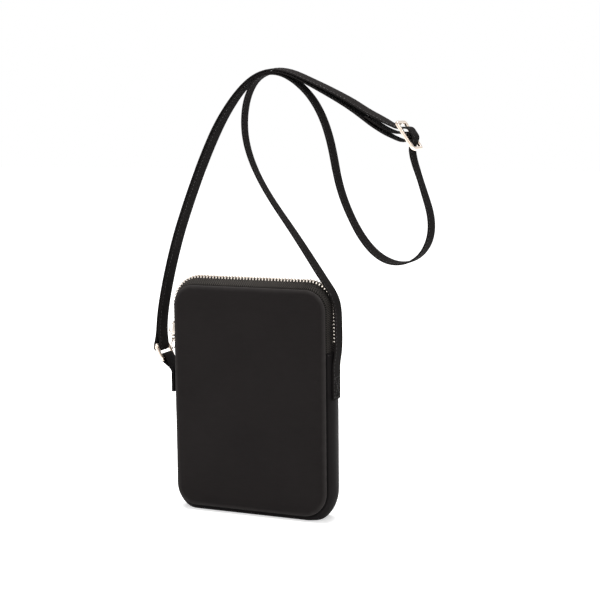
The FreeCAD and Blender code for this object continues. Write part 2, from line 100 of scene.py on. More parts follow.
# The frame's own sizes
panel_low, panel_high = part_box("front_panel")
gusset_low, gusset_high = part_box("lower_gusset")
tape_low, tape_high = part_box("zip_tape_front")
half_width = panel_high.x
half_depth = gusset_high.y
seam_low = panel_low.z
seam_high = panel_high.z
crown = -half_depth - panel_low.y
left_crest = gusset_low.x
right_crest = gusset_high.x
top_crest = tape_high.z
zip_end = gusset_high.z
left_bulge = -left_crest - half_width
right_bulge = right_crest - half_width
top_bulge = top_crest - seam_high
joint_place = {j["name"]: Vector(j["pos_m"]) for j in frame["joints"] if "pos_m" in j}

# Sizes of the soft body
base_bulge = 8.9 * mm
top_corner = 17 * mm
base_corner_left = 16 * mm
base_corner_right = 20 * mm
least_corner = 0.4 * mm
crown_spread = 3.2 * mm
crown_start = 0.9 * mm
belly = 0.5 * mm
belly_height = 95 * mm
belly_reach = 90 * mm
seam_groove = 1.4 * mm
groove_reach = 1.1 * mm
shell_cloth = 0.8 * mm
floor_soften = 0.35 * mm
floor_lift = 0.3 * mm
gusset_cloth = 0.9 * mm
gusset_lift = 0.3 * mm

# How finely the outline is divided
corner_steps = 28
lower_side_steps = 84
upper_side_steps = 24
level_steps = 76
side_steps = lower_side_steps + upper_side_steps

# Zip
tape_gap = 1.2 * mm
tape_thickness = 0.8 * mm
tape_drop = 0.8 * mm
hem_margin = 1.5 * mm
hem_drop = 1.8 * mm
hem_ends = 10
cord_place = 1.7 * mm
cord_reach = 0.7 * mm
cord_rise = 0.55 * mm
cord_foot = 2.3 * mm
cord_side = 0.9 * mm
tooth_pitch = 2.7 * mm
chain_margin = 4.2 * mm
meshed_from = 31.5 * mm
stop_distance = 1.3 * mm
slider_height = 146 * mm

# Strap
strap_width = 15 * mm
strap_thickness = 1.5 * mm
strap_groove = 0.18 * mm
strap_margin = 1.5 * mm
strand_gap = 0.4 * mm
ring_wire = 1.5 * mm
ring_pitch = 13.15 * mm
ring_width = 19 * mm
ring_bend = 2.6 * mm
ring_lean = math.radians(27)
bar_clearance = 0.15 * mm
layer_gap = 0.15 * mm
sewn_gap = 0.05 * mm

# Adjuster
adjuster_length = 25.6 * mm
adjuster_width = 21.6 * mm
adjuster_rail = 2.6 * mm
adjuster_bar = 1.3 * mm
adjuster_bend = 1.9 * mm
adjuster_tilt = math.radians(56)

# Stitches
stitch_length = 2.1 * mm
stitch_radius = 0.2 * mm
stitch_cover_share = 0.75
close_pitch = 2.3 * mm


# Mesh helpers


def grid_faces(rows, columns, close_rows=False, close_columns=False, start=0):
    faces = []
    for i in range(rows if close_rows else rows - 1):
        for j in range(columns if close_columns else columns - 1):
            a = start + i * columns + j
            b = start + i * columns + (j + 1) % columns
            c = start + ((i + 1) % rows) * columns + (j + 1) % columns
            d = start + ((i + 1) % rows) * columns + j
            faces.append((a, b, c, d))
    return faces


def tube_faces(rows, columns, turned=False):
    """Faces of a tube with capped ends. Turned caps start at another corner, which moves their shine."""
    order = -1 if turned else 1
    faces = grid_faces(rows, columns, close_columns=True)
    faces.append(tuple(range(columns))[::-order])
    faces.append(tuple(range((rows - 1) * columns, rows * columns))[::order])
    return faces


def add_object(name, verts, faces):
    mesh = bpy.data.meshes.new(name)
    mesh.from_pydata([tuple(v) for v in verts], [], faces)
    mesh.validate()
    mesh.update()
    mesh.polygons.foreach_set("use_smooth", [True] * len(mesh.polygons))
    return put_object(name, mesh)


def turn_outward(piece):
    work = bmesh.new()
    work.from_mesh(piece.data)
    bmesh.ops.recalc_face_normals(work, faces=work.faces)
    work.to_mesh(piece.data)
    work.free()


def add_solid(name, verts, faces, places=None):
    """A smooth object with its faces outward and, where places are given, a UV map in metres."""
    piece = add_object(name, verts, faces)
    if places is not None:
        layer = piece.data.uv_layers.new(name="UVMap")
        indices = np.zeros(len(piece.data.loops), dtype=np.int32)
        piece.data.loops.foreach_get("vertex_index", indices)
        layer.data.foreach_set("uv", np.asarray(places, dtype=np.float32)[indices].ravel())
    turn_outward(piece)
    return piece


def from_edit_mesh(name, work, place=None):
    """A smooth object from an edit mesh, which is used up."""
    mesh = bpy.data.meshes.new(name)
    work.to_mesh(mesh)
    work.free()
    if place is not None:
        mesh.transform(place)
    mesh.polygons.foreach_set("use_smooth", [True] * len(mesh.polygons))
    return put_object(name, mesh)


def joined(pieces, name):
    """Joins pieces into one object without operators."""
    work = bmesh.new()
    for piece in pieces:
        work.from_mesh(piece.data)
        bpy.data.objects.remove(piece)
    return from_edit_mesh(name, work)


def dress(piece, material, body, *nodes, slot=None):
    """Gives a piece its material and body and hides the nodes that it stands for; the slot is not used."""
    piece.data.materials.clear()
    piece.data.materials.append(material)
    if body:
        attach(piece, body)
    if nodes:
        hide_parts(*nodes)
    return piece


def unit(v):
    length = math.hypot(v[0], v[1])
    return v[0] / length, v[1] / length


def wobble(x, y, z, seed):
    return noise.noise(Vector((x, y, z + seed)))


def at_depth(ring, y):
    """Points of the XZ plane, moved to one depth or each to its own."""
    return np.column_stack([ring[:, 0], np.full(len(ring), y), ring[:, 1]])


# Stitches


def join_copies(name, copies):
    """One mesh from many (verts, faces) sets that are already in place."""
    verts = []
    faces = []
    for some_verts, some_faces in copies:
        start = len(verts)
        verts.extend(some_verts)
        faces.extend(tuple(start + i for i in face) for face in some_faces)
    return add_solid(name, verts, faces)


# Along one stitch: share of its length, share of its radius, and its lift in radii
stitch_shares = [(-0.5, 0.3, -0.9), (-0.38, 0.8, -0.2), (0, 1.0, 0.15), (0.38, 0.8, -0.2), (0.5, 0.3, -0.9)]
stitch_sides = 6


def stitch_at(place, along, out, length=stitch_length):
    """One stitch: a short bowed thread whose ends dip into the cloth."""
    matrix = placed(place, along, out.cross(along), out)
    verts = []
    for share, thick, lift in stitch_shares:
        for k in range(stitch_sides):
            angle = 2 * math.pi * k / stitch_sides
            verts.append(matrix @ Vector((
                share * length,
                stitch_radius * thick * math.cos(angle),
                stitch_radius * (lift + thick * math.sin(angle)),
            )))
    return verts, tube_faces(len(stitch_shares), stitch_sides)


def stitch_line(start, end, out):
    """Close stitches in a straight line between two points."""
    run = end - start
    count = max(1, round(run.length / close_pitch))
    length = stitch_cover_share * run.length / count
    along = run.normalized()
    return [stitch_at(start.lerp(end, (k + 0.5) / count), along, out, length) for k in range(count)]


# Materials


class Nodes:
    """Short calls that add shader nodes to a tree and link them."""

    def __init__(self, tree):
        self.tree = tree

    def put(self, kind, inputs=(), **settings):
        node = self.tree.nodes.new(kind)
        for key, value in settings.items():
            setattr(node, key, value)
        for key, value in dict(inputs).items():
            self.feed(node.inputs[key], value)
        return node

    def feed(self, socket, value):
        if isinstance(value, bpy.types.NodeSocket):
            self.tree.links.new(value, socket)
        else:
            socket.default_value = value

    def math(self, operation, a, b=0.0):
        return self.put("ShaderNodeMath", {0: a, 1: b}, operation=operation).outputs[0]

    def plus(self, a, b):
        return self.math("ADD", a, b)

    def times(self, a, b):
        return self.math("MULTIPLY", a, b)

    def larger(self, a, b):
        return self.math("MAXIMUM", a, b)

    def weighed(self, a, b, share):
        return self.plus(self.times(a, share), self.times(b, 1 - share))

    def dimmed(self, value, by, share):
        return self.times(value, self.plus(self.times(by, share), 1 - share))

    def half_up(self, value):
        return self.plus(self.times(value, 0.5), 0.5)

    def sine(self, coordinate, pitch):
        return self.math("SINE", self.times(coordinate, 2 * math.pi / pitch))

    def wave(self, coordinate, pitch):
        """A sine from 0 to 1."""
        return self.half_up(self.sine(coordinate, pitch))

    def ramp(self, value, start, end, low, high, **settings):
        inputs = {"Value": value, "From Min": start, "From Max": end, "To Min": low, "To Max": high}
        return self.put("ShaderNodeMapRange", inputs, **settings).outputs[0]

    def mixed(self, share, a, b):
        return self.put("ShaderNodeMix", {0: share, 6: a, 7: b}, data_type="RGBA").outputs[2]

    def axes(self, coordinates):
        return self.put("ShaderNodeSeparateXYZ", {0: coordinates}).outputs

    def scaled(self, coordinates, scale):
        return self.put("ShaderNodeMapping", {"Vector": coordinates, "Scale": scale}).outputs[0]

    def noise(self, vector, scale, detail=2.0):
        inputs = {"Vector": vector, "Scale": scale, "Detail": detail}
        return self.put("ShaderNodeTexNoise", inputs).outputs["Fac"]

    def bump(self, height, strength, distance, **under):
        inputs = {"Height": height, "Strength": strength, "Distance": distance, **under}
        return self.put("ShaderNodeBump", inputs).outputs["Normal"]


class Surface(Nodes):
    """The nodes of one material, with its UV map and its place in the bag's space."""

    def __init__(self, name):
        self.material = bpy.data.materials.new(name)
        self.material.use_nodes = True
        super().__init__(self.material.node_tree)
        coordinates = self.put("ShaderNodeTexCoord").outputs
        self.uv = coordinates["UV"]
        self.place = coordinates["Object"]
        self.u, self.v = self.axes(self.uv)[:2]
        self.x, self.y, self.z = self.axes(self.place)

    def finish(self, inputs):
        for name, value in inputs.items():
            self.feed(self.tree.nodes["Principled BSDF"].inputs[name], value)
        return self.material


def colour(red, green, blue):
    return (red, green, blue, 1.0)


# Painted shade: a near-black colour mixed into the cloth along the seams, where their creases are shaded
painted_crease_shade = colour(0.0005, 0.0005, 0.0005)
painted_crease_shade_share = 0.85
# Distances from the middle plane over which the panels' rolled rim takes its painted highlight colour
rim_highlight_from = half_depth + 2.4 * mm
rim_highlight_to = half_depth + 1.1 * mm
satin_pitch = 0.42 * mm
twill_pitch = 1.7 * mm
twill_fold = 2.2 * mm
cord_pitch = 0.75 * mm
pick_pitch = 0.9 * mm
pick_shift = 0.3 * mm
thread_pitch = 0.35 * mm
lining_pitch = 0.6 * mm


def painted_seam_shade(nodes, tone, clear, dark):
    """Painted shade in the seams' creases, between two distances from the bag's middle plane."""
    share = nodes.ramp(nodes.math("ABSOLUTE", nodes.y), clear, dark, 0.0, painted_crease_shade_share)
    return nodes.mixed(share, tone, painted_crease_shade)


def satin_material(name, base, lit, clear, dark, rim=None):
    """Close-woven satin: fine slanted ribs, faint slubs and cloudy tone, painted shade in the seams' creases
    and, where a rim colour is given, a painted highlight along the rolled rim that also stands for edge wear.
    """
    nodes = Surface(name)
    ribs = nodes.wave(nodes.plus(nodes.u, nodes.times(nodes.v, 0.5)), satin_pitch)
    weave = nodes.dimmed(ribs, nodes.wave(nodes.v, satin_pitch * 0.6), 0.4)
    slubs = nodes.noise(nodes.scaled(nodes.uv, (60, 900, 1)), 1.0)
    clouds = nodes.noise(nodes.place, 22.0, 3.0)
    tone = nodes.mixed(nodes.weighed(clouds, slubs, 0.7), base, lit)
    tone = nodes.mixed(nodes.times(weave, 0.35), tone, lit)
    # Painted highlight: the rim colour lightens the rolled edge, where the top light catches it; partly edge
    # wear
    if rim:
        wear_and_highlight = nodes.ramp(nodes.math("ABSOLUTE", nodes.y), rim_highlight_from, rim_highlight_to, 0.0, 1.0)
        tone = nodes.mixed(wear_and_highlight, tone, rim)
    soft = nodes.bump(nodes.noise(nodes.place, 160.0, 3.0), 0.25, 0.25 * mm)
    return nodes.finish({
        "Base Color": painted_seam_shade(nodes, tone, clear, dark),
        "Roughness": nodes.plus(nodes.times(clouds, 0.08), 0.46),
        "Normal": nodes.bump(weave, 0.35, 0.05 * mm, Normal=soft),
        "Specular IOR Level": 0.012,
        "Sheen Weight": 0.01,
        "Sheen Roughness": 0.4,
    })


def twill_material(name, base, lit, clear, dark):
    """Zip tape: a herringbone of slanted ribs, matt, with painted shade where it meets the seams."""
    nodes = Surface(name)
    ribs = nodes.wave(nodes.plus(nodes.u, nodes.math("PINGPONG", nodes.v, twill_fold)), twill_pitch)
    threads = nodes.wave(nodes.math("SUBTRACT", nodes.u, nodes.v), twill_pitch * 0.35)
    weave = nodes.dimmed(ribs, threads, 0.5)
    clouds = nodes.noise(nodes.place, 60.0, 3.0)
    tone = nodes.mixed(nodes.times(clouds, 0.5), nodes.mixed(weave, base, lit), base)
    return nodes.finish({
        "Base Color": painted_seam_shade(nodes, tone, clear, dark),
        "Roughness": 0.78,
        "Normal": nodes.bump(weave, 0.6, 0.12 * mm),
        "Specular IOR Level": 0.006,
        "Sheen Weight": 0.01,
    })


def webbing_material(name, base, lit):
    """Strap: close lengthwise cords crossed by fine picks, slightly glossy."""
    nodes = Surface(name)
    shift = nodes.times(nodes.sine(nodes.v, 2 * cord_pitch), pick_shift)
    picks = nodes.wave(nodes.plus(nodes.u, shift), pick_pitch)
    weave = nodes.weighed(nodes.wave(nodes.v, cord_pitch), picks, 0.6)
    clouds = nodes.noise(nodes.place, 45.0, 3.0)
    return nodes.finish({
        "Base Color": nodes.mixed(nodes.times(nodes.plus(weave, clouds), 0.5), base, lit),
        "Roughness": 0.52,
        "Normal": nodes.bump(weave, 0.6, 0.1 * mm),
        "Specular IOR Level": 0.002,
    })


def thread_material(name, base, lit):
    nodes = Surface(name)
    twist = nodes.wave(nodes.plus(nodes.plus(nodes.x, nodes.z), nodes.y), thread_pitch)
    return nodes.finish({
        "Base Color": nodes.mixed(twist, base, lit),
        "Roughness": 0.5,
        "Normal": nodes.bump(twist, 0.4, 0.05 * mm),
    })


def plain_cloth_material(name, base, lit):
    """Lining and padding: a plain square weave."""
    nodes = Surface(name)
    weave = nodes.times(nodes.sine(nodes.u, lining_pitch), nodes.sine(nodes.v, lining_pitch))
    level = nodes.half_up(weave)
    return nodes.finish({
        "Base Color": nodes.mixed(level, base, lit),
        "Roughness": 0.8,
        "Normal": nodes.bump(level, 0.4, 0.06 * mm),
    })


def gold_material(name, base, wear_and_highlight, roughness):
    """Polished light gold plate with hairline rubs and a little dulling."""
    nodes = Surface(name)
    rubs = nodes.noise(nodes.scaled(nodes.place, (900, 200, 900)), 1.0, 4.0)
    return nodes.finish({
        "Base Color": nodes.mixed(nodes.noise(nodes.place, 180.0), base, wear_and_highlight),
        "Metallic": 1.0,
        "Roughness": nodes.plus(nodes.times(rubs, 0.12), roughness),
        "Normal": nodes.bump(rubs, 0.08, 0.02 * mm),
    })


# Cloth colours: for the panels, gusset and tape the two distances bound the painted seam shade; the panel's
# last colour is the painted highlight on its rolled rim
panel_satin = satin_material(
    "panel_satin", colour(0.0120, 0.0105, 0.0106), colour(0.0215, 0.0189, 0.0186),
    half_depth + 0.3 * mm, half_depth - 0.4 * mm, colour(0.048, 0.044, 0.043),
)
gusset_satin = satin_material(
    "gusset_satin", colour(0.0090, 0.0080, 0.0082), colour(0.0165, 0.0148, 0.0150),
    half_depth - 1.9 * mm, half_depth - 0.5 * mm,
)
zip_twill = twill_material(
    "zip_twill", colour(0.006, 0.0055, 0.0052), colour(0.110, 0.100, 0.092),
    half_depth - 1.9 * mm, half_depth - 0.5 * mm,
)
strap_webbing = webbing_material(
    "strap_webbing", colour(0.0075, 0.0070, 0.0068), colour(0.0240, 0.0215, 0.0210)
)
black_thread = thread_material("black_thread", colour(0.009, 0.0085, 0.008), colour(0.026, 0.024, 0.023))
lining_cloth = plain_cloth_material("lining_cloth", colour(0.03, 0.03, 0.03), colour(0.06, 0.058, 0.056))
padding_foam = plain_cloth_material("padding_foam", colour(0.12, 0.12, 0.12), colour(0.2, 0.2, 0.2))
zip_gold = gold_material("zip_gold", colour(0.84, 0.77, 0.70), colour(0.74, 0.66, 0.58), 0.17)
hardware_gold = gold_material("hardware_gold", colour(0.87, 0.75, 0.65), colour(0.79, 0.65, 0.54), 0.11)


# The bag's outline


def outline(left, right, top, base):
    """Points round the bag, anticlockwise from the middle of the base, seen from the front."""
    x0 = -half_width - left
    x1 = half_width + right
    z0 = seam_low - base
    z1 = seam_high + top
    arcs = []
    for x, z, radius, start in (
        (x1, z0, base_corner_right + (right + base) / 2, -90),
        (x1, z1, top_corner + (right + top) / 2, 0),
        (x0, z1, top_corner + (left + top) / 2, 90),
        (x0, z0, base_corner_left + (left + base) / 2, 180),
    ):
        r = max(radius, least_corner)
        cx = x - math.copysign(r, x)
        cz = z + r if z == z0 else z - r
        angles = np.radians(start + np.linspace(0, 90, corner_steps + 1))
        arcs.append(np.stack([cx + r * np.cos(angles), cz + r * np.sin(angles)], 1))
    base_mid = np.array([(x0 + x1) / 2, z0])
    right_split = np.array([x1, zip_end])
    left_split = np.array([x0, zip_end])

    def straight(a, b, steps):
        return a + (b - a) * np.linspace(0, 1, steps + 1)[:, None]

    parts = [
        straight(base_mid, arcs[0][0], level_steps // 2), arcs[0],
        straight(arcs[0][-1], right_split, lower_side_steps),
        straight(right_split, arcs[1][0], upper_side_steps), arcs[1],
        straight(arcs[1][-1], arcs[2][0], level_steps), arcs[2],
        straight(arcs[2][-1], left_split, upper_side_steps),
        straight(left_split, arcs[3][0], lower_side_steps), arcs[3],
        straight(arcs[3][-1], base_mid, level_steps // 2),
    ]
    return np.concatenate([part[:-1] for part in parts])


right_index = level_steps // 2 + corner_steps + lower_side_steps
left_index = right_index + 2 * upper_side_steps + 2 * corner_steps + level_steps
seam_line = outline(0, 0, 0, 0)
station_count = len(seam_line)
seam_steps = np.linalg.norm(np.roll(seam_line, -1, 0) - seam_line, axis=1)
seam_along = np.concatenate([[0], np.cumsum(seam_steps)])[:station_count]


def inset_outline(inset):
    return outline(-inset, -inset, -inset, -inset)


def soft_floor(z):
    """Cloth near the surface that the bag stands on is pressed flat on it."""
    return (z + np.sqrt(z * z + floor_soften * floor_soften)) / 2


def edge_distance(x, z):
    """How far points inside the seam line lie from it."""
    middle_z = (seam_low + seam_high) / 2
    half_height = (seam_high - seam_low) / 2
    base_radius = np.where(x > 0, base_corner_right, base_corner_left)
    radius = np.where(z > middle_z, top_corner, base_radius)
    qx = np.abs(x) - half_width + radius
    qz = np.abs(z - middle_z) - half_height + radius
    outside = np.hypot(np.maximum(qx, 0), np.maximum(qz, 0))
    return np.maximum(radius - outside - np.minimum(np.maximum(qx, qz), 0), 0)


# Front and back panels: the rolled edge as millimetres inside the seam line and above its plane
roll_profile = [
    (0.9, -0.55), (0.62, -0.25), (0.28, 0.0), (-0.02, 0.28), (-0.2, 0.62), (-0.24, 0.98),
    (-0.08, 1.3), (0.3, 1.58), (0.85, 1.8), (1.6, 2.0),
]
inner_share_count = 14
grid_inset = 20 * mm


def crown_depth(distance):
    return crown * (1 - np.exp(-(distance + crown_start) / crown_spread))


def panel_depth(x, z):
    """Height of the padded face over its seam plane."""
    across = np.clip(1 - (x / half_width) ** 2, 0, 1)
    along = np.clip(1 - ((z - belly_height) / belly_reach) ** 2, 0, 1)
    return crown_depth(edge_distance(x, z)) + belly * across * along


def panel_ripple(x, z, distance, along, seed):
    """Faint slack of the cloth over its padding, and small puckers along the seam."""
    slack = wobble(x * 28, z * 17, 0, seed) * 0.5 + wobble(x * 70, z * 40, 0, seed + 9) * 0.1
    fade = 1 - math.exp(-distance / (9 * mm))
    pucker = wobble(along * 210, distance * 60, 0, seed + 21) * 0.16 * math.exp(-distance / (3.5 * mm))
    return (slack * fade + pucker) * mm


def panel_piece(name, side, seed, node):
    """Padded panel: a soft roll at the seam and a quiet crowned face. Side is -1 at the front."""
    rows = [at_depth(inset_outline(inset * mm), rise * mm) for inset, rise in roll_profile]
    rim = rows[-1][:, [0, 2]]
    rim_inset, rim_rise = roll_profile[-1]
    columns = level_steps + corner_steps
    heights = side_steps + corner_steps
    grid_x, grid_z = np.meshgrid(
        np.linspace(grid_inset - half_width, half_width - grid_inset, columns + 1),
        np.linspace(seam_low + grid_inset, seam_high - grid_inset, heights + 1),
    )
    index = np.arange(grid_x.size).reshape(grid_x.shape)
    grid = np.column_stack([grid_x.ravel(), grid_z.ravel()])
    border = np.concatenate([index[0, :-1], index[:-1, -1], index[-1, :0:-1], index[:0:-1, 0]])
    border = np.roll(border, -(columns // 2))
    for step in range(1, inner_share_count):
        share = (step / inner_share_count) ** 1.15
        xz = rim * (1 - share) + grid[border] * share
        lift = (rim_rise * mm - crown_depth(rim_inset * mm)) * (1 - share) ** 6
        rows.append(at_depth(xz, panel_depth(*xz.T) + lift))
    rows.append(at_depth(grid, panel_depth(*grid.T)))
    points = np.concatenate(rows)
    ring_count = len(rows) - 1
    grid_start = ring_count * station_count
    faces = grid_faces(ring_count, station_count, close_columns=True)
    faces += grid_faces(heights + 1, columns + 1, start=grid_start)
    ring_start = grid_start - station_count
    for k in range(station_count):
        after = (k + 1) % station_count
        ends = (grid_start + int(border[after]), grid_start + int(border[k]))
        faces.append((ring_start + k, ring_start + after) + ends)
    along = np.concatenate([np.tile(seam_along, ring_count), grid.sum(axis=1)])
    x, rise, z = points.T
    ripple = [panel_ripple(*spot, seed) for spot in zip(x, z, edge_distance(x, z), along)]
    verts = np.column_stack([x, side * (half_depth + rise + ripple), np.maximum(z, floor_lift)])
    piece = add_solid(name, verts, faces, points[:, [0, 2]])
    shell = piece.modifiers.new("cloth", "SOLIDIFY")
    shell.thickness = shell_cloth
    shell.offset = -1
    dress(piece, panel_satin, "root", node, slot="panel_cloth")


panel_piece("front_panel_cloth", -1, 3.1, "front_panel")
panel_piece("back_panel_cloth", 1, 47.3, "back_panel")


# The band between the panels: lower gusset and zip tapes


def band_growth(share):
    """Bulge of the band across the bag's depth, 0 at the seams and 1 at the crest."""
    return 1 - share * share


def tape_profile(y):
    """The tape's corded edge stands up under the teeth, and the tape beside it lies lower."""
    cord = cord_rise * math.exp(-((abs(y) - cord_place) / cord_reach) ** 2)
    beside_cord = min(max((abs(y) - cord_foot) / cord_side, 0), 1)
    return cord - tape_drop * beside_cord * band_growth(y / half_depth)


def band_ring(y, lift, seed, ripple):
    """Outline of the band at one depth, and its outward directions."""
    swell = band_growth(y / half_depth)
    near = half_depth - abs(y)
    groove = math.exp(-(near / groove_reach) ** 2) * seam_groove
    grown = [bulge * swell + lift - groove for bulge in (left_bulge, right_bulge, top_bulge, base_bulge)]
    ring = outline(*grown)
    outward = ring - outline(*[g - 1 * mm for g in grown])
    outward /= np.linalg.norm(outward, axis=1)[:, None]
    for k, along in enumerate(seam_along):
        slack = wobble(along * 30, y * 60, 0, seed) * 0.35 * swell
        pucker = wobble(along * 200, y * 90, 0, seed + 5) * 0.14 * math.exp(-near / (3 * mm))
        ring[k] += outward[k] * (slack + pucker) * ripple * mm
    ring[:, 1] = soft_floor(ring[:, 1])
    return at_depth(ring, y), at_depth(outward, 0)


def band_strip(name, stations, levels, thickness, lift, seed, ripple=1.0, profile=None):
    """Closed strip of cloth over some stations, with its section across the depth."""
    outer = []
    inner = []
    for y in levels:
        ring, outward = band_ring(y, lift + (profile(y) if profile else 0), seed, ripple)
        outer.append(ring[stations])
        inner.append((ring - outward * thickness)[stations])
    section = outer + inner[::-1]
    along = seam_along[stations]
    along = along + np.cumsum(np.diff(along, prepend=along[0]) < 0) * (seam_along[-1] + seam_steps[-1])
    across = list(levels) + list(levels)[::-1]
    return add_solid(
        name, np.stack(section, 1).reshape(-1, 3), tube_faces(len(stations), len(section)),
        [(a, c) for a in along for c in across],
    )


def cosine_levels(low, high, count):
    return low + (high - low) * (1 - np.cos(np.linspace(0, math.pi, count))) / 2


lower_stations = list(range(left_index, station_count)) + list(range(0, right_index + 1))
upper_stations = list(range(right_index - 4, left_index + 5))
gusset = band_strip(
    "gusset_cloth", lower_stations, cosine_levels(-half_depth, half_depth, 30),
    gusset_cloth, gusset_lift, 11.0,
)
dress(gusset, gusset_satin, "root", "lower_gusset", slot="gusset_cloth")


def hem_stitching():
    """The lower gusset's two ends are turned under and stitched across, below the zip's ends."""
    copies = []
    for side, bulge in ((-1, left_bulge), (1, right_bulge)):
        places = []
        for y in np.linspace(-half_depth + hem_margin, half_depth - hem_margin, hem_ends):
            reach = half_width + bulge * band_growth(y / half_depth) + gusset_lift
            places.append(Vector((side * reach, y, zip_end - hem_drop)))
        for start, end in zip(places, places[1:]):
            along = (end - start).normalized()
            copies.append(stitch_at((start + end) / 2, along, z_axis.cross(along) * -side))
    dress(join_copies("gusset_hem_stitching", copies), black_thread, "root", slot="thread")


hem_stitching()

for word, side in (("front", -1), ("back", 1)):
    tape = band_strip(
        "zip_tape_" + word + "_twill", upper_stations, side * cosine_levels(tape_gap / 2, half_depth, 26),
        tape_thickness, 0, 17.0 + side, 0.4, tape_profile,
    )
    dress(tape, zip_twill, "root", "zip_tape_" + word, slot="zip_tape")


# The chain of teeth along the crest


def crest_points():
    """The crest's path as straight runs and quarter turns: start, direction, length, radius."""
    left_radius = top_corner + (left_bulge + top_bulge) / 2
    right_radius = top_corner + (right_bulge + top_bulge) / 2
    rise_left = top_crest - left_radius - zip_end
    run = right_crest - right_radius - (left_crest + left_radius)
    rise_right = top_crest - right_radius - zip_end
    return [
        ((left_crest, zip_end), 90, rise_left, 0),
        ((left_crest, zip_end + rise_left), 90, math.pi / 2 * left_radius, left_radius),
        ((left_crest + left_radius, top_crest), 0, run, 0),
        ((right_crest - right_radius, top_crest), 0, math.pi / 2 * right_radius, right_radius),
        ((right_crest, zip_end + rise_right), -90, rise_right, 0),
    ]


crest_runs = crest_points()
crest_length = sum(run[2] for run in crest_runs)


def crest_matrix(distance):
    """Local X along the chain, Y across it and Z outward from the bag."""
    for (x, z), heading, length, radius in crest_runs:
        if distance <= length:
            break
        distance -= length
    angle = math.radians(heading)
    if radius:
        cx = x + radius * math.sin(angle)
        cz = z - radius * math.cos(angle)
        angle -= distance / radius
        x = cx - radius * math.sin(angle)
        z = cz + radius * math.cos(angle)
    else:
        x += math.cos(angle) * distance
        z += math.sin(angle) * distance
    along = Vector((math.cos(angle), 0, math.sin(angle)))
    outward = Vector((-math.sin(angle), 0, math.cos(angle)))
    return placed(Vector((x, 0, z)), along, outward.cross(along), outward)


# Millimetres: across from the chain's middle, half the length, low side, high side.
# The first three count from the head's own reach.
tooth_head = [(0, 0.34, 0.10, 0.70), (0.22, 0.50, -0.02, 0.98), (0.75, 0.56, -0.08, 1.14)]
tooth_legs = [
    (1.15, 0.56, -0.1, 1.2), (1.5, 0.6, -0.5, 1.26), (2.3, 0.6, -1.05, 1.26),
    (2.74, 0.57, -1.15, 1.12), (2.92, 0.44, -1.0, 0.85),
]
tooth_soft = 0.16
tooth_soft_share = 0.45
open_reach = 0.5
meshed_reach = -0.45


def tooth_template(side, reach):
    """One cast tooth: two legs that clamp the tape's cord and a rounded head past the centre."""
    sections = [(reach + y, half, low, high) for y, half, low, high in tooth_head] + tooth_legs
    verts = []
    for y, half, low, high in sections:
        soft = min(tooth_soft, half * tooth_soft_share)
        corners = [
            (-half, low + soft), (-half, high - soft), (-half + soft, high), (half - soft, high),
            (half, high - soft), (half, low + soft), (half - soft, low), (-half + soft, low),
        ]
        verts += [Vector((a, side * y, h)) * mm for a, h in corners]
    return verts, tube_faces(len(sections), len(corners), turned=True)


def chain(word, side, first):
    """Teeth mesh over the centre line, but stand open along the slider's travel."""
    copies = []
    for index in range(int((crest_length - 2 * chain_margin) / tooth_pitch)):
        distance = first + index * tooth_pitch
        verts, faces = tooth_template(side, meshed_reach if distance > meshed_from else open_reach)
        place = crest_matrix(distance)
        copies.append(([place @ v for v in verts], faces))
    piece = join_copies("zip_teeth_" + word + "_cast", copies)
    piece.data.set_sharp_from_angle(angle=math.radians(40))
    dress(piece, zip_gold, "root", "zip_teeth_" + word, slot="zip_metal")


chain("front", -1, chain_margin)
chain("back", 1, chain_margin + tooth_pitch / 2)


def rounded_block(name, low, high, bevel, place, segments=3):
    """A block with rounded edges, from its corners in millimetres, in the space of a placement."""
    low, high = Vector(low) * mm, Vector(high) * mm
    work = bmesh.new()
    bmesh.ops.create_cube(work, size=1)
    for vert in work.verts:
        vert.co = Vector([low[i] + (vert.co[i] + 0.5) * (high[i] - low[i]) for i in range(3)])
    bmesh.ops.bevel(work, geom=work.edges[:], offset=bevel, segments=segments, affect="EDGES", profile=0.5)
    return from_edit_mesh(name, work, place)


def stop_block(name, near, far, distance):
    """A stop on the chain, between two distances across it in millimetres."""
    return rounded_block(name, (-0.85, near, -0.3), (0.85, far, 1.1), 0.3 * mm, crest_matrix(distance))


top_stops = joined(
    [stop_block("stop", near, far, stop_distance) for near, far in ((-2.8, -0.5), (0.5, 2.8))],
    "zip_top_stops_cast",
)
dress(top_stops, zip_gold, "root", "zip_top_stops", slot="zip_metal")
bottom_stop = stop_block("zip_bottom_stop_cast", -2.8, 2.8, crest_length - stop_distance)
dress(bottom_stop, zip_gold, "root", "zip_bottom_stop", slot="zip_metal")


# Wire and rod shapes


def swept(name, points, section, place, closed=True, up=z_axis):
    """A section carried along a path, in the space of a placement. Up is the section's second axis."""
    count = len(points)
    verts = []
    for k, point in enumerate(points):
        before = points[(k - 1) % count if closed else max(k - 1, 0)]
        after = points[(k + 1) % count if closed else min(k + 1, count - 1)]
        along = (after - before).normalized()
        side = along.cross(up).normalized()
        over = side.cross(along).normalized()
        verts += [place @ (point + side * a + over * b) for a, b in section]
    if closed:
        faces = grid_faces(count, len(section), close_rows=True, close_columns=True)
    else:
        faces = tube_faces(count, len(section))
    return add_solid(name, verts, faces)


def circle_section(radius, sides):
    angles = [2 * math.pi * k / sides for k in range(sides)]
    return [(radius * math.cos(angle), radius * math.sin(angle)) for angle in angles]


def soft_square_section(width, height, power, sides):
    """A rounded square section."""
    section = []
    for k in range(sides):
        angle = 2 * math.pi * (k + 0.5) / sides
        c, s = math.cos(angle), math.sin(angle)
        reach = (abs(c) ** power + abs(s) ** power) ** (-1 / power)
        section.append((width / 2 * c * reach, height / 2 * s * reach))
    return section


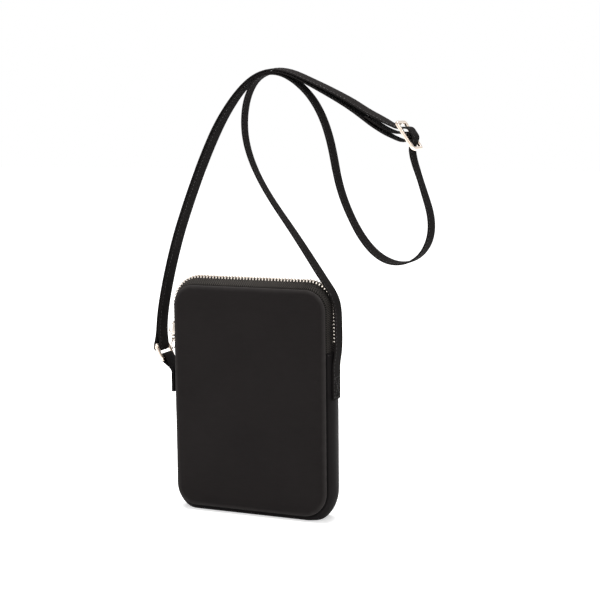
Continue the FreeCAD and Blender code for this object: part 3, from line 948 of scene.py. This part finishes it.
def round_rectangle(length, width, bend, corner_points=9, run_points=5):
    """Points of a rounded rectangle in local XY."""
    arcs = []
    for sx, sy, start in ((1, 1, 0), (-1, 1, 90), (-1, -1, 180), (1, -1, 270)):
        cx = sx * (length / 2 - bend)
        cy = sy * (width / 2 - bend)
        angles = [math.radians(start + 90 * k / (corner_points - 1)) for k in range(corner_points)]
        arcs.append([Vector((cx + bend * math.cos(a), cy + bend * math.sin(a), 0)) for a in angles])
    points = []
    for arc, following in zip(arcs, arcs[1:] + arcs[:1]):
        points += arc
        points += [arc[-1].lerp(following[0], k / run_points) for k in range(1, run_points)]
    return points


# Slider and its pull, drawn at the slider's place on the chain
at_slider = crest_matrix(slider_height - zip_end)
plate_low = 1.4 * mm
plate_high = 2.6 * mm
plate_bevel = 0.32 * mm
inner_plate_low = -2.9 * mm
inner_plate_high = -1.8 * mm
pin_height = plate_high + 0.85 * mm
hinge_shift = -2.55 * mm
link_length = 6.0 * mm
link_width = 5.4 * mm
link_bend = 1.5 * mm
loop_length = 6.6 * mm
loop_width = 6.0 * mm
loop_bend = 2.4 * mm
loop_wire = 0.6 * mm
sleeve_radius = 1.15 * mm
sleeve_sides = 24

# In millimetres: half of the slider's plate, the path and height of its lips, and the sleeve
# of its pull as places across it with their radii, and the radius of its bore
plate_half = [
    (-6.2, 0), (-6.2, 1.6), (-5.9, 2.9), (-5.0, 3.75), (-3.4, 3.9), (-1.2, 3.85), (0.8, 3.5),
    (3.0, 3.15), (5.0, 3.0), (5.9, 2.6), (6.2, 1.6),
]
lip_path = [(-4.2, 3.55), (-2.0, 3.5), (0.8, 3.2), (3.2, 2.85), (5.2, 2.75)]
lip_height = 0.85
sleeve_profile = [
    (-1.3, 0.95), (-1.15, 1.12), (-0.6, 1.15), (0, 1.15), (0.6, 1.15), (1.15, 1.12), (1.3, 0.95),
]
sleeve_bore = 0.62


def slider_plate(name, low, high):
    """A shield-shaped plate: broad nose below, narrow tail above."""
    shape = plate_half + [(a, -b) for a, b in plate_half[:0:-1]]
    work = bmesh.new()
    face = work.faces.new([work.verts.new(Vector((a * mm, b * mm, low))) for a, b in shape])
    for item in bmesh.ops.extrude_face_region(work, geom=[face])["geom"]:
        if isinstance(item, bmesh.types.BMVert):
            item.co.z = high
    bmesh.ops.recalc_face_normals(work, faces=work.faces)
    rim = [e for e in work.edges if abs(e.verts[0].co.z - e.verts[1].co.z) < 1e-9]
    bmesh.ops.bevel(work, geom=rim, offset=plate_bevel, segments=3, affect="EDGES", profile=0.5)
    return from_edit_mesh(name, work, at_slider)


def slider_lip(side):
    """A rolled edge that holds a tape, following the plate's side."""
    path = [Vector((a, side * b, lip_height)) * mm for a, b in lip_path]
    return swept("lip", path, soft_square_section(0.6 * mm, 1.1 * mm, 4.0, 16), at_slider, False)


def slider_bridge():
    """The arched bridge that the link hangs on."""
    path = []
    for k in range(33):
        angle = math.pi * k / 32
        reach = math.copysign(abs(math.cos(angle)) ** 0.6, math.cos(angle))
        path.append(Vector((-3.85 * reach, 0, 2.4 + 4.6 * math.sin(angle) ** 0.75)) * mm)
    return swept("bridge", path, soft_square_section(0.8 * mm, 2.0 * mm, 4.0, 20), at_slider, False, y_axis)


def make_slider():
    body = joined([
        slider_plate("plate", plate_low, plate_high),
        slider_plate("inner_plate", inner_plate_low, inner_plate_high),
        rounded_block("neck", (-5.4, -0.3, -1.9), (-3.8, 0.3, 1.5), 0.1 * mm, at_slider, 2),
        slider_bridge(), slider_lip(-1), slider_lip(1),
    ], "zip_slider_body")
    turn_outward(body)
    body.data.set_sharp_from_angle(angle=math.radians(50))
    dress(body, zip_gold, "zip_slider", "zip_slider", slot="zip_metal")


def make_link():
    place = at_slider @ Matrix.Translation(Vector((hinge_shift - link_length / 2, 0, pin_height)))
    section = soft_square_section(1.15 * mm, 1.05 * mm, 2.8, 20)
    link = swept("zip_pull_link_wire", round_rectangle(link_length, link_width, link_bend), section, place)
    dress(link, zip_gold, "pull_link", "zip_pull_link", slot="zip_metal")


def make_loop():
    """The loop's sleeve on the link, and the wire that hangs from it."""
    pin = hinge_shift - link_length
    bore = [(y, sleeve_bore) for y, radius in sleeve_profile[::-1]]
    verts = []
    for y, radius in sleeve_profile + bore:
        centre = Vector((pin, y * mm, pin_height))
        for a, b in circle_section(1, sleeve_sides):
            verts.append(at_slider @ (centre + Vector((a, 0, b)) * radius * mm))
    faces = grid_faces(2 * len(sleeve_profile), sleeve_sides, close_rows=True, close_columns=True)
    sleeve = add_solid("sleeve", verts, faces)
    centre = Matrix.Translation(Vector((pin - sleeve_radius - loop_length / 2, 0, pin_height)))
    path = round_rectangle(loop_length, loop_width, loop_bend)
    wire = swept("wire", path, circle_section(loop_wire, 20), at_slider @ centre)
    loop = joined([sleeve, wire], "zip_pull_loop_wire")
    turn_outward(loop)
    dress(loop, zip_gold, "pull_loop", "zip_pull_loop", slot="zip_metal")


make_slider()
make_link()
make_loop()


# Flat ribbons in the XZ plane


def corner_turn(before, corner, after):
    """Directions into and out of a corner, and the signed angle between them."""
    a = unit((corner[0] - before[0], corner[1] - before[1]))
    b = unit((after[0] - corner[0], after[1] - corner[1]))
    return a, b, math.atan2(a[0] * b[1] - a[1] * b[0], a[0] * b[0] + a[1] * b[1])


def tangent_path(points, radii):
    """Straight runs joined by tangent arcs, each piece as start, end, arc centre, turn."""
    pieces = []
    start = points[0]
    for before, corner, after, radius in zip(points, points[1:], points[2:], radii):
        a, b, turn = corner_turn(before, corner, after)
        reach = radius * math.tan(abs(turn) / 2)
        enter = (corner[0] - a[0] * reach, corner[1] - a[1] * reach)
        leave = (corner[0] + b[0] * reach, corner[1] + b[1] * reach)
        side = math.copysign(radius, turn)
        pieces.append((start, enter, None, 0))
        pieces.append((enter, leave, (enter[0] - a[1] * side, enter[1] + a[0] * side), turn))
        start = leave
    pieces.append((start, points[-1], None, 0))
    return pieces


arc_share = 0.45


def widest_radii(points):
    radii = []
    for before, corner, after in zip(points, points[1:], points[2:]):
        turn = abs(corner_turn(before, corner, after)[2])
        run = min(math.dist(before, corner), math.dist(corner, after))
        radii.append(arc_share * run / math.tan(max(turn, 1e-6) / 2))
    return radii


def walk(points, radii, step):
    """Evenly spaced places along a tangent path."""
    places = []
    for start, end, centre, turn in tangent_path(points, radii):
        length = abs(turn) * math.dist(start, centre) if centre else math.dist(start, end)
        pieces = max(1, round(length / step))
        for share in np.arange(pieces) / pieces:
            if centre:
                c, s = math.cos(turn * share), math.sin(turn * share)
                arm = (start[0] - centre[0], start[1] - centre[1])
                places.append((centre[0] + arm[0] * c - arm[1] * s, centre[1] + arm[0] * s + arm[1] * c))
            else:
                places.append(tuple(a + (b - a) * share for a, b in zip(start, end)))
    path = np.array(places + [points[-1]])
    kept = [0]
    for k in range(1, len(path)):
        if np.linalg.norm(path[k] - path[kept[-1]]) > step * 0.3:
            kept.append(k)
    return path[kept]


def fold_points(centre, direction, radius, reach, half_gap):
    """Points of a fold that wraps a round bar: in on the right of its direction, out on the left."""
    dx, dz = direction
    far = math.hypot(reach, half_gap)
    lean = math.asin(radius / far) - math.atan(half_gap / reach)
    high = radius * (1 + math.sin(lean)) / math.cos(lean)
    table = [(-reach, -half_gap), (radius, -high), (radius, high), (-reach, half_gap)]
    return [(centre[0] + a * dx - b * dz, centre[1] + a * dz + b * dx) for a, b in table]


def path_lengths(path):
    return np.concatenate([[0], np.cumsum(np.linalg.norm(np.diff(path, axis=0), axis=1))])


dent_half = 0.35 * mm
dent_reach = 0.3 * mm
back_side_shift = 0.04


def flat_section(width, thickness, margin, groove):
    """Section of flat sewn webbing: rounded edges and a dent along each line of stitches."""
    half = width / 2
    line = half - margin
    across = [half, half * 0.988, half * 0.96, line + 0.75 * mm, line + dent_half, line, line - dent_half]
    across += [line - 0.8 * mm, half * 0.45, half * 0.15]
    across = across + [-a for a in across[::-1]]
    top = []
    for a in across:
        round_off = (1 - min(abs(a) / half, 1) ** 16) ** 0.5
        dent = groove * math.exp(-((abs(a) - line) / dent_reach) ** 2)
        top.append((a, thickness / 2 * round_off - dent))
    bottom = [(a, -n) for a, n in top[::-1]]
    return top[:-1] + bottom[:-1]


def strip_axes(direction, angle):
    """Across a strip and out of it, when it is twisted by an angle about its direction in XZ."""
    normal = Vector((-direction[1], 0, direction[0]))
    c, s = math.cos(angle), math.sin(angle)
    return y_axis * c + normal * s, normal * c - y_axis * s


def ribbon(name, path, section, twist):
    """Webbing along a path in the XZ plane. The section's first axis is the width."""
    ahead = np.gradient(path, axis=0)
    ahead /= np.linalg.norm(ahead, axis=1)[:, None]
    verts = []
    places = []
    for (x, z), direction, length in zip(path, ahead, path_lengths(path)):
        wide, thick = strip_axes(direction, twist(length))
        for a, b in section:
            verts.append(Vector((x, 0, z)) + wide * a + thick * b)
            places.append((length, a + (back_side_shift if b < 0 else 0)))
    return add_solid(name, verts, tube_faces(len(path), len(section), turned=True), places)


# The ring and its tab

ring_low = joint_place["ring_hinge"]
ring_direction = (-math.sin(ring_lean), math.cos(ring_lean))
ring_high = (ring_low.x + ring_direction[0] * ring_pitch, ring_low.z + ring_direction[1] * ring_pitch)


def make_ring():
    middle = Vector(((ring_low.x + ring_high[0]) / 2, 0, (ring_low.z + ring_high[1]) / 2))
    along = Vector((ring_direction[0], 0, ring_direction[1]))
    ring = swept(
        "left_ring_wire", round_rectangle(ring_pitch, ring_width, ring_bend, 11, 6),
        circle_section(ring_wire, 28), placed(middle, along, y_axis, along.cross(y_axis)),
    )
    dress(ring, hardware_gold, "left_ring", "left_ring", slot="hardware")


make_ring()

tab_cloth = 1.2 * mm
tab_width = 14 * mm
tab_bend = 4 * mm
tab_slack = 1.9 * mm
tab_ease = 0.6 * mm
tab_margin = 1.6 * mm
tab_groove = 0.1 * mm
tab_stitch_rise = 1.9 * mm
tab_low = ring_low.z - 26.3 * mm
ring_standoff = left_crest - ring_low.x
tab_inner = left_crest - sewn_gap - tab_cloth / 2
tab_outer = tab_inner - tab_cloth - layer_gap


def tab_path():
    foot = ((tab_inner + tab_outer) / 2, ring_low.z - ring_standoff)
    direction = unit((ring_low.x - foot[0], ring_low.z - foot[1]))
    centre = (ring_low.x + direction[0] * tab_slack, ring_low.z + direction[1] * tab_slack)
    half_turn = math.atan2(-direction[0], direction[1]) / 2
    half = (tab_cloth + layer_gap) / 2
    side = (half, half * math.tan(half_turn))
    radius = ring_wire + bar_clearance + tab_cloth / 2 + tab_ease
    wrap = fold_points(centre, direction, radius, math.dist(foot, centre) - tab_bend, half)
    points = [(tab_inner, tab_low), (foot[0] + side[0], foot[1] + side[1])] + wrap
    points += [(foot[0] - side[0], foot[1] - side[1]), (tab_outer, tab_low)]
    radii = [tab_bend + half, tab_bend, radius, radius, tab_bend, tab_bend - half]
    return walk(points, radii, 0.5 * mm)


def make_tab():
    section = flat_section(tab_width, tab_cloth, tab_margin, tab_groove)
    tab = ribbon("left_tab_cloth", tab_path(), section, lambda length: 0.0)
    dress(tab, gusset_satin, "root", "left_tab", slot="gusset_cloth")
    face = tab_outer - tab_cloth / 2
    low = tab_low + tab_stitch_rise
    high = ring_low.z - ring_standoff - tab_bend - tab_margin
    side = tab_width / 2 - tab_margin
    corners = [Vector((face, y, z)) for y, z in ((-side, low), (side, low), (side, high), (-side, high))]
    lines = list(zip(corners, corners[1:] + corners[:1]))
    lines += [(corners[0], corners[2]), (corners[3], corners[1])]
    copies = [stitch for start, end in lines for stitch in stitch_line(start, end, -x_axis)]
    dress(join_copies("tab_stitching", copies), black_thread, "root", "tab_stitches", slot="thread")


make_tab()


# The strap

strap_arch = 161.9 * mm
crest_share = 0.2587
strap_sewn_high = zip_end - 11 * mm
strap_sewn_low = strap_sewn_high - 26.5 * mm
fold_slack = 1.5 * mm
fold_bend = 2.8 * mm
ring_fold_share = 0.5425
hump_clearance = 0.4 * mm
hump_shoulder = 6.5 * mm
hump_foot = 1.0 * mm
upper_leg = 9.0 * mm
upper_leg_drop = 3.5 * mm
upper_leg_far = 15.5 * mm
upper_leg_far_drop = 7.3 * mm
lower_leg = 8.9 * mm
lower_leg_drop = 3.0 * mm
lower_leg_far = 14.7 * mm
lower_leg_far_drop = 5.9 * mm

# The fold at the ring hangs a little slack under the bar
ring_slack = 2.2 * mm
ring_fold_bend = 2.9 * mm

long_run_shares = [
    (1.011, 0.006), (1.015, 0.050), (1.012, 0.105), (1.012, 0.165), (0.995, 0.210),
    (0.959, 0.243), (0.904, 0.298), (0.848, 0.356), (0.793, 0.411), (0.734, 0.468),
    (0.674, 0.524), (0.618, 0.582), (0.570, 0.642), (0.531, 0.706), (0.508, 0.774),
    (0.507, 0.842), (0.526, 0.912), (0.575, 0.973), (0.656, 0.995), (0.743, 0.986),
    (0.828, 0.944), (0.889, 0.897), (0.930, 0.847), (0.959, 0.797), (0.980, 0.745),
    (0.996, 0.692), (1.009, 0.639), (1.028, 0.586), (1.054, 0.535), (1.087, 0.485),
    (1.124, 0.437), (1.170, 0.392), (1.227, 0.354), (1.301, 0.329), (1.386, 0.331),
    (1.457, 0.363), (1.496, 0.414), (1.505, 0.468), (1.492, 0.521), (1.467, 0.570),
    (1.445, 0.620), (1.419, 0.670),
]

# Where two strands lie side by side, the line between them and how far they spread
pair_shares = [
    (0.009, 0.101, 1), (0.027, 0.173, 1), (0.055, 0.257, 1), (0.087, 0.340, 1),
    (0.124, 0.423, 1), (0.166, 0.502, 1), (0.210, 0.580, 1), (0.257, 0.658, 1),
    (0.307, 0.734, 1), (0.362, 0.809, 1), (0.427, 0.879, 1), (0.502, 0.943, 0.9),
    (0.585, 0.988, 0.87), (0.676, 1.006, 0.87), (0.769, 0.993, 1), (0.855, 0.964, 1.1),
    (0.938, 0.936, 1.6), (1.018, 0.907, 1.9), (1.096, 0.877, 2.3), (1.158, 0.847, 2.4),
]
upper_end_shares = [(1.221, 0.838)]
lower_end_shares = [(1.221, 0.801), (1.283, 0.774), (1.335, 0.758), (1.361, 0.752)]
fold_tail_shares = [(1.326, 0.780), (1.279, 0.792), (1.226, 0.812), (1.175, 0.837)]

right_end = right_crest + sewn_gap + strap_thickness / 2
strap_span = right_end - ring_high[0]
adjuster_place = (joint_place["adjuster_hinge"].x, joint_place["adjuster_hinge"].z)


def route_point(share):
    if share[1] < crest_share:
        height = ring_high[1] + (top_crest - ring_high[1]) * share[1] / crest_share
    else:
        height = top_crest + strap_arch * (share[1] - crest_share) / (1 - crest_share)
    return (ring_high[0] + share[0] * strap_span, height)


def at_adjuster(along, above):
    c, s = math.cos(adjuster_tilt), math.sin(adjuster_tilt)
    return (adjuster_place[0] + along * c + above * s, adjuster_place[1] - along * s + above * c)


def beside(points, offsets):
    """Points moved to the left of their own path."""
    moved = []
    for index, (point, offset) in enumerate(zip(points, offsets)):
        before = points[max(index - 1, 0)]
        after = points[min(index + 1, len(points) - 1)]
        dx, dz = unit((after[0] - before[0], after[1] - before[1]))
        moved.append((point[0] - dz * offset, point[1] + dx * offset))
    return moved


def strap_route():
    """The whole strap: sewn end, top, loose loop, adjuster, ring and back to the middle bar."""
    offset = (strap_thickness + strand_gap) / 2
    bar_radius = adjuster_bar + bar_clearance + strap_thickness / 2
    hump = bar_radius + strap_thickness + hump_clearance
    pair = [route_point(share[:2]) for share in pair_shares]
    outer = beside(pair, [offset * share[2] for share in pair_shares])
    inner = beside(pair, [-offset * share[2] for share in pair_shares])
    points = [(right_end, strap_sewn_low), (right_end, strap_sewn_high)]
    points += [route_point(share) for share in long_run_shares]
    points += [at_adjuster(a, b) for a, b in (
        (lower_leg_far, -lower_leg_far_drop), (lower_leg, -lower_leg_drop),
        (hump_shoulder, hump_foot), (hump, hump), (-hump, hump), (-hump_shoulder, hump_foot),
        (-upper_leg, -upper_leg_drop), (-upper_leg_far, -upper_leg_far_drop),
    )]
    points += [route_point(share) for share in upper_end_shares] + outer[::-1]
    up = unit((pair[0][0] - ring_high[0], pair[0][1] - ring_high[1]))
    reach = ring_fold_share * math.dist(pair[0], ring_high)
    fold_centre = (ring_high[0] - up[0] * ring_slack, ring_high[1] - up[1] * ring_slack)
    ring_at = len(points)
    points += fold_points(fold_centre, (-up[0], -up[1]), ring_fold_bend, reach, offset)
    points += inner + [route_point(share) for share in lower_end_shares]
    right_of_bar = adjuster_place[0] + bar_radius
    points.append((right_of_bar, adjuster_place[1] - bar_radius - fold_slack))
    points.append((right_of_bar, adjuster_place[1] + bar_radius))
    points += [route_point(share) for share in fold_tail_shares]
    radii = widest_radii(points)
    radii[ring_at] = radii[ring_at + 1] = ring_fold_bend
    radii[-len(fold_tail_shares)] = bar_radius
    radii[-len(fold_tail_shares) - 1] = fold_bend
    return points, radii


hold_reach = 8 * mm
hold_fade = 14 * mm
ease_passes = 36


def hold(x, z):
    """How firmly the strap is held to its exact route: 1 at bars and the sewn end."""
    near = min(math.dist((x, z), ring_high), math.dist((x, z), adjuster_place) - hold_reach)
    sewn = max(0.0, z - strap_sewn_high) if x > right_end - 4 * mm else 1.0
    return 1 - min(max((min(near, sewn) - hold_reach) / hold_fade, 0), 1)


def ease_path(path):
    """Evens the bends of the free runs."""
    ease = np.array([1 - hold(x, z) for x, z in path])[:, None]
    eased = path.copy()
    for step in range(ease_passes):
        middle = (np.roll(eased, 1, 0) + np.roll(eased, -1, 0)) / 2
        middle[0], middle[-1] = eased[0], eased[-1]
        eased += (middle - eased) * 0.5 * ease
    return eased


strap_path = ease_path(walk(*strap_route(), 1.2 * mm))
strap_lengths = path_lengths(strap_path)

# Twist of the strap: length from the sewn end in millimetres, degrees
twist_keys = [
    (0, 0), (105, 0), (150, 5), (180, 7.7), (205, 8.5), (250, 6), (272, 5), (302, 5), (320, 2.5),
    (345, 0.5), (425, -0.5), (465, 5), (485, 0), (505, -3), (535, 0), (553, 2.4), (572, 0), (606, 0),
    (616, -5), (645, -6), (700, -5), (750, -4.5), (785, 0), (1163, 0), (1198, 4.5), (1248, 5),
    (1303, 6), (1326, 6), (1338, 2), (1344, 0), (2000, 0),
]


def strap_twist(length):
    return math.radians(float(np.interp(length / mm, *zip(*twist_keys))))


def strap_blend(piece):
    """Bakes the piece's placement into its mesh."""
    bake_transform(piece)


def strap_point(length):
    return np.array([np.interp(length, strap_lengths, strap_path[:, axis]) for axis in (0, 1)])


def strap_place(length):
    """Point, direction and normals of the strap at a length along it."""
    x, z = strap_point(length)
    direction = unit(strap_point(length + 0.6 * mm) - (x, z))
    wide, thick = strip_axes(direction, strap_twist(length))
    return Vector((x, 0, z)), Vector((direction[0], 0, direction[1])), wide, thick


edge_pitch = 3.0 * mm
end_rows = (1.9 * mm, 17.5 * mm)
fold_rows = (strap_lengths[-1] - 1.9 * mm, strap_lengths[-1] - 0.9 * mm)
row_margin = 2.4 * mm
cross_margin = 2.6 * mm


def edge_stitches():
    """A line of stitches along each edge, on both faces."""
    line = strap_width / 2 - strap_margin
    surface = strap_thickness / 2 - strap_groove * 0.8
    copies = []
    for index in range(int(strap_lengths[-1] / edge_pitch) - 1):
        point, along, wide, thick = strap_place((index + 0.75) * edge_pitch)
        for side in (-1, 1):
            for out in (-thick, thick):
                copies.append(stitch_at(point + wide * (side * line) + out * surface, along, out))
    return copies


def back_line(length_start, length_end, side_start, side_end):
    """A line of stitches on the strap's back face, between two lengths and places across it."""
    ends = []
    for length, side in ((length_start, side_start), (length_end, side_end)):
        point, along, wide, thick = strap_place(length)
        ends.append(point + wide * side - thick * strap_thickness / 2)
    return stitch_line(*ends, -strap_place(length_start)[3])


def cross_stitches(rows):
    reach = strap_width / 2 - row_margin
    return [stitch for row in rows for stitch in back_line(row, row, -reach, reach)]


def make_strap():
    section = flat_section(strap_width, strap_thickness, strap_margin, strap_groove)
    strap = ribbon("strap_webbing", strap_path, section, strap_twist)
    dress(strap, strap_webbing, None, "strap_long_run", "strap_inner_run", "strap_ring_fold", slot="webbing")
    strap_blend(strap)
    running = join_copies("strap_edge_stitching", edge_stitches())
    dress(running, black_thread, None, slot="thread")
    strap_blend(running)
    reach = strap_width / 2 - cross_margin
    box = cross_stitches(end_rows) + back_line(*end_rows, -reach, reach) + back_line(*end_rows, reach, -reach)
    ends = join_copies("strap_end_stitching", box)
    dress(ends, black_thread, "root", "strap_end_stitches", slot="thread")
    folds = join_copies("strap_fold_stitching", cross_stitches(fold_rows))
    dress(folds, black_thread, "root", "strap_fold_stitches", slot="thread")


make_strap()


def make_adjuster():
    along = Vector((math.cos(adjuster_tilt), 0, -math.sin(adjuster_tilt)))
    place = placed(Vector((adjuster_place[0], 0, adjuster_place[1])), along, y_axis, along.cross(y_axis))
    width = adjuster_width - adjuster_rail
    path = round_rectangle(adjuster_length - adjuster_rail, width, adjuster_bend, 9, 6)
    rim = swept("rim", path, soft_square_section(adjuster_rail, adjuster_rail, 4.2, 36), place)
    bar_path = [y_axis * (y * width / 2) for y in (-1, -0.9, -0.8, -0.5, 0, 0.5, 0.8, 0.9, 1)]
    bar = swept("bar", bar_path, circle_section(adjuster_bar, 24), place, False)
    adjuster = joined([rim, bar], "strap_adjuster_frame")
    turn_outward(adjuster)
    dress(adjuster, hardware_gold, "strap_adjuster", "strap_adjuster", slot="hardware")


make_adjuster()


# What the bag holds inside: padding, linings and bindings

plate_reach = 62 * mm
foam_outer = half_depth + 1.2 * mm
foam_inner = half_depth - 1.95 * mm
foam_inset = 2.4 * mm
lining_outer = half_depth - 2.05 * mm
lining_inner = half_depth - 2.35 * mm
lining_inset = 1.6 * mm
band_reach = 10 * mm
band_cloth = 0.35 * mm
band_lift = -1.4 * mm
binding_width = 4 * mm
binding_cloth = 0.8 * mm
binding_inset = 1.1 * mm
binding_depth = 10.1 * mm


def inner_plate(name, side, outer, inner, inset, material, node, slot_name):
    """A soft plate between two depths, rounded at its rim."""
    half = (outer - inner) / 2
    face_rings = [inset_outline(inset + share * plate_reach) for share in (0.05, 0.15, 0.3, 0.5, 0.7, 0.9)]
    rows = [at_depth(ring, side * inner) for ring in face_rings[::-1]]
    for angle in np.linspace(0, math.pi, 9):
        ring = inset_outline(inset + half * (1 - math.sin(angle)))
        rows.append(at_depth(ring, side * (inner + half * (1 - math.cos(angle)))))
    rows += [at_depth(ring, side * outer) for ring in face_rings]
    verts = np.concatenate(rows)
    faces = tube_faces(len(rows), station_count, turned=True)
    piece = add_solid(name, verts, faces, verts[:, [0, 2]])
    return dress(piece, material, "root", node, slot=slot_name)


def binding(name, side, node):
    """A folded tape over the seam's raw edges, inside the bag."""
    rows = []
    for angle in np.linspace(0, 2 * math.pi, 14, endpoint=False):
        across = 1 - math.cos(angle) * abs(math.cos(angle)) ** -0.6
        y = binding_depth - binding_cloth / 2 * (1 - math.sin(angle))
        rows.append(at_depth(inset_outline(binding_inset + binding_width / 2 * across), side * y))
    verts = np.concatenate(rows)
    faces = grid_faces(len(rows), station_count, close_rows=True, close_columns=True)
    piece = add_solid(name, verts, faces, verts[:, [0, 2]])
    dress(piece, lining_cloth, "root", node, slot="lining")


for word, side in (("front", -1), ("back", 1)):
    foam = inner_plate(
        word + "_padding", side, foam_outer, foam_inner, foam_inset,
        padding_foam, word + "_foam", "padding",
    )
    inner_plate(
        word + "_lining_cloth", side, lining_outer, lining_inner, lining_inset,
        lining_cloth, word + "_lining", "lining",
    )
    binding(word + "_binding_tape", side, word + "_seam_binding")

inside = band_strip(
    "gusset_lining_cloth", lower_stations, cosine_levels(-band_reach, band_reach, 14),
    band_cloth, band_lift, 31.0, 0.3,
)
dress(inside, lining_cloth, "root", "gusset_lining", slot="lining")


# Floor, light and world

floor_size = 6.0
floor_near, floor_far = 0.12, 0.75
floor_glow = 0.55
ceiling_from, ceiling_to = 0.2, 0.75
ceiling_glow = 0.3
fill_strength = 0.3
white = colour(1, 1, 1)


def make_floor():
    """A pale floor that keeps the bag's shadow and is white further away."""
    corners = [(x * floor_size, y * floor_size, 0) for x, y in ((-1, -1), (1, -1), (1, 1), (-1, 1))]
    floor = add_object("floor", corners, [(0, 1, 2, 3)])
    material = bpy.data.materials.new("floor_white")
    material.use_nodes = True
    material.node_tree.nodes.clear()
    nodes = Nodes(material.node_tree)
    rays = nodes.put("ShaderNodeLightPath").outputs
    seen = nodes.larger(rays["Is Camera Ray"], rays["Is Glossy Ray"])
    place = nodes.put("ShaderNodeTexCoord").outputs["Object"]
    away = nodes.put("ShaderNodeVectorMath", {0: place}, operation="LENGTH").outputs["Value"]
    glow = nodes.ramp(away, floor_near, floor_far, floor_glow, 1.0, interpolation_type="SMOOTHSTEP")
    light = nodes.put("ShaderNodeEmission", {"Strength": nodes.times(seen, glow)})
    diffuse = nodes.put("ShaderNodeBsdfDiffuse", {"Color": colour(0.82, 0.82, 0.82)})
    both = nodes.put("ShaderNodeAddShader", {0: diffuse.outputs[0], 1: light.outputs[0]})
    nodes.put("ShaderNodeOutputMaterial", {"Surface": both.outputs[0]})
    floor.data.materials.append(material)


def make_world():
    """White where it is seen, darker overhead in reflections, and a low light elsewhere."""
    world = bpy.data.worlds.new("studio")
    bpy.context.scene.world = world
    world.use_nodes = True
    world.node_tree.nodes.clear()
    nodes = Nodes(world.node_tree)
    rays = nodes.put("ShaderNodeLightPath").outputs
    height = nodes.axes(nodes.put("ShaderNodeTexCoord").outputs["Generated"])["Z"]
    overhead = nodes.ramp(height, ceiling_from, ceiling_to, 1.0, ceiling_glow)
    strength = nodes.larger(overhead, rays["Is Camera Ray"])
    shown = nodes.put("ShaderNodeBackground", {"Color": white, "Strength": strength})
    fill = nodes.put("ShaderNodeBackground", {"Color": white, "Strength": fill_strength})
    seen = nodes.larger(rays["Is Camera Ray"], rays["Is Glossy Ray"])
    seen = nodes.larger(seen, rays["Is Transmission Ray"])
    mix = nodes.put("ShaderNodeMixShader", {0: seen, 1: fill.outputs[0], 2: shown.outputs[0]})
    nodes.put("ShaderNodeOutputWorld", {"Surface": mix.outputs[0]})


def area_light(name, place, target, size, power):
    data = bpy.data.lights.new(name, "AREA")
    data.shape = "SQUARE"
    data.size = size
    data.energy = power
    light = put_object(name, data)
    light.location = place
    light.rotation_euler = (Vector(target) - Vector(place)).to_track_quat("-Z", "Y").to_euler()


make_floor()
make_world()
area_light("key", (0.55, -1.15, 1.3), (0.02, 0, 0.14), 0.8, 8.5)
area_light("top", (-0.1, 0.1, 1.5), (0, 0, 0.15), 1.0, 34)
area_light("left", (-1.3, -0.6, 0.7), (0, 0, 0.15), 0.7, 4)

bpy.context.scene.view_settings.view_transform = "Standard"
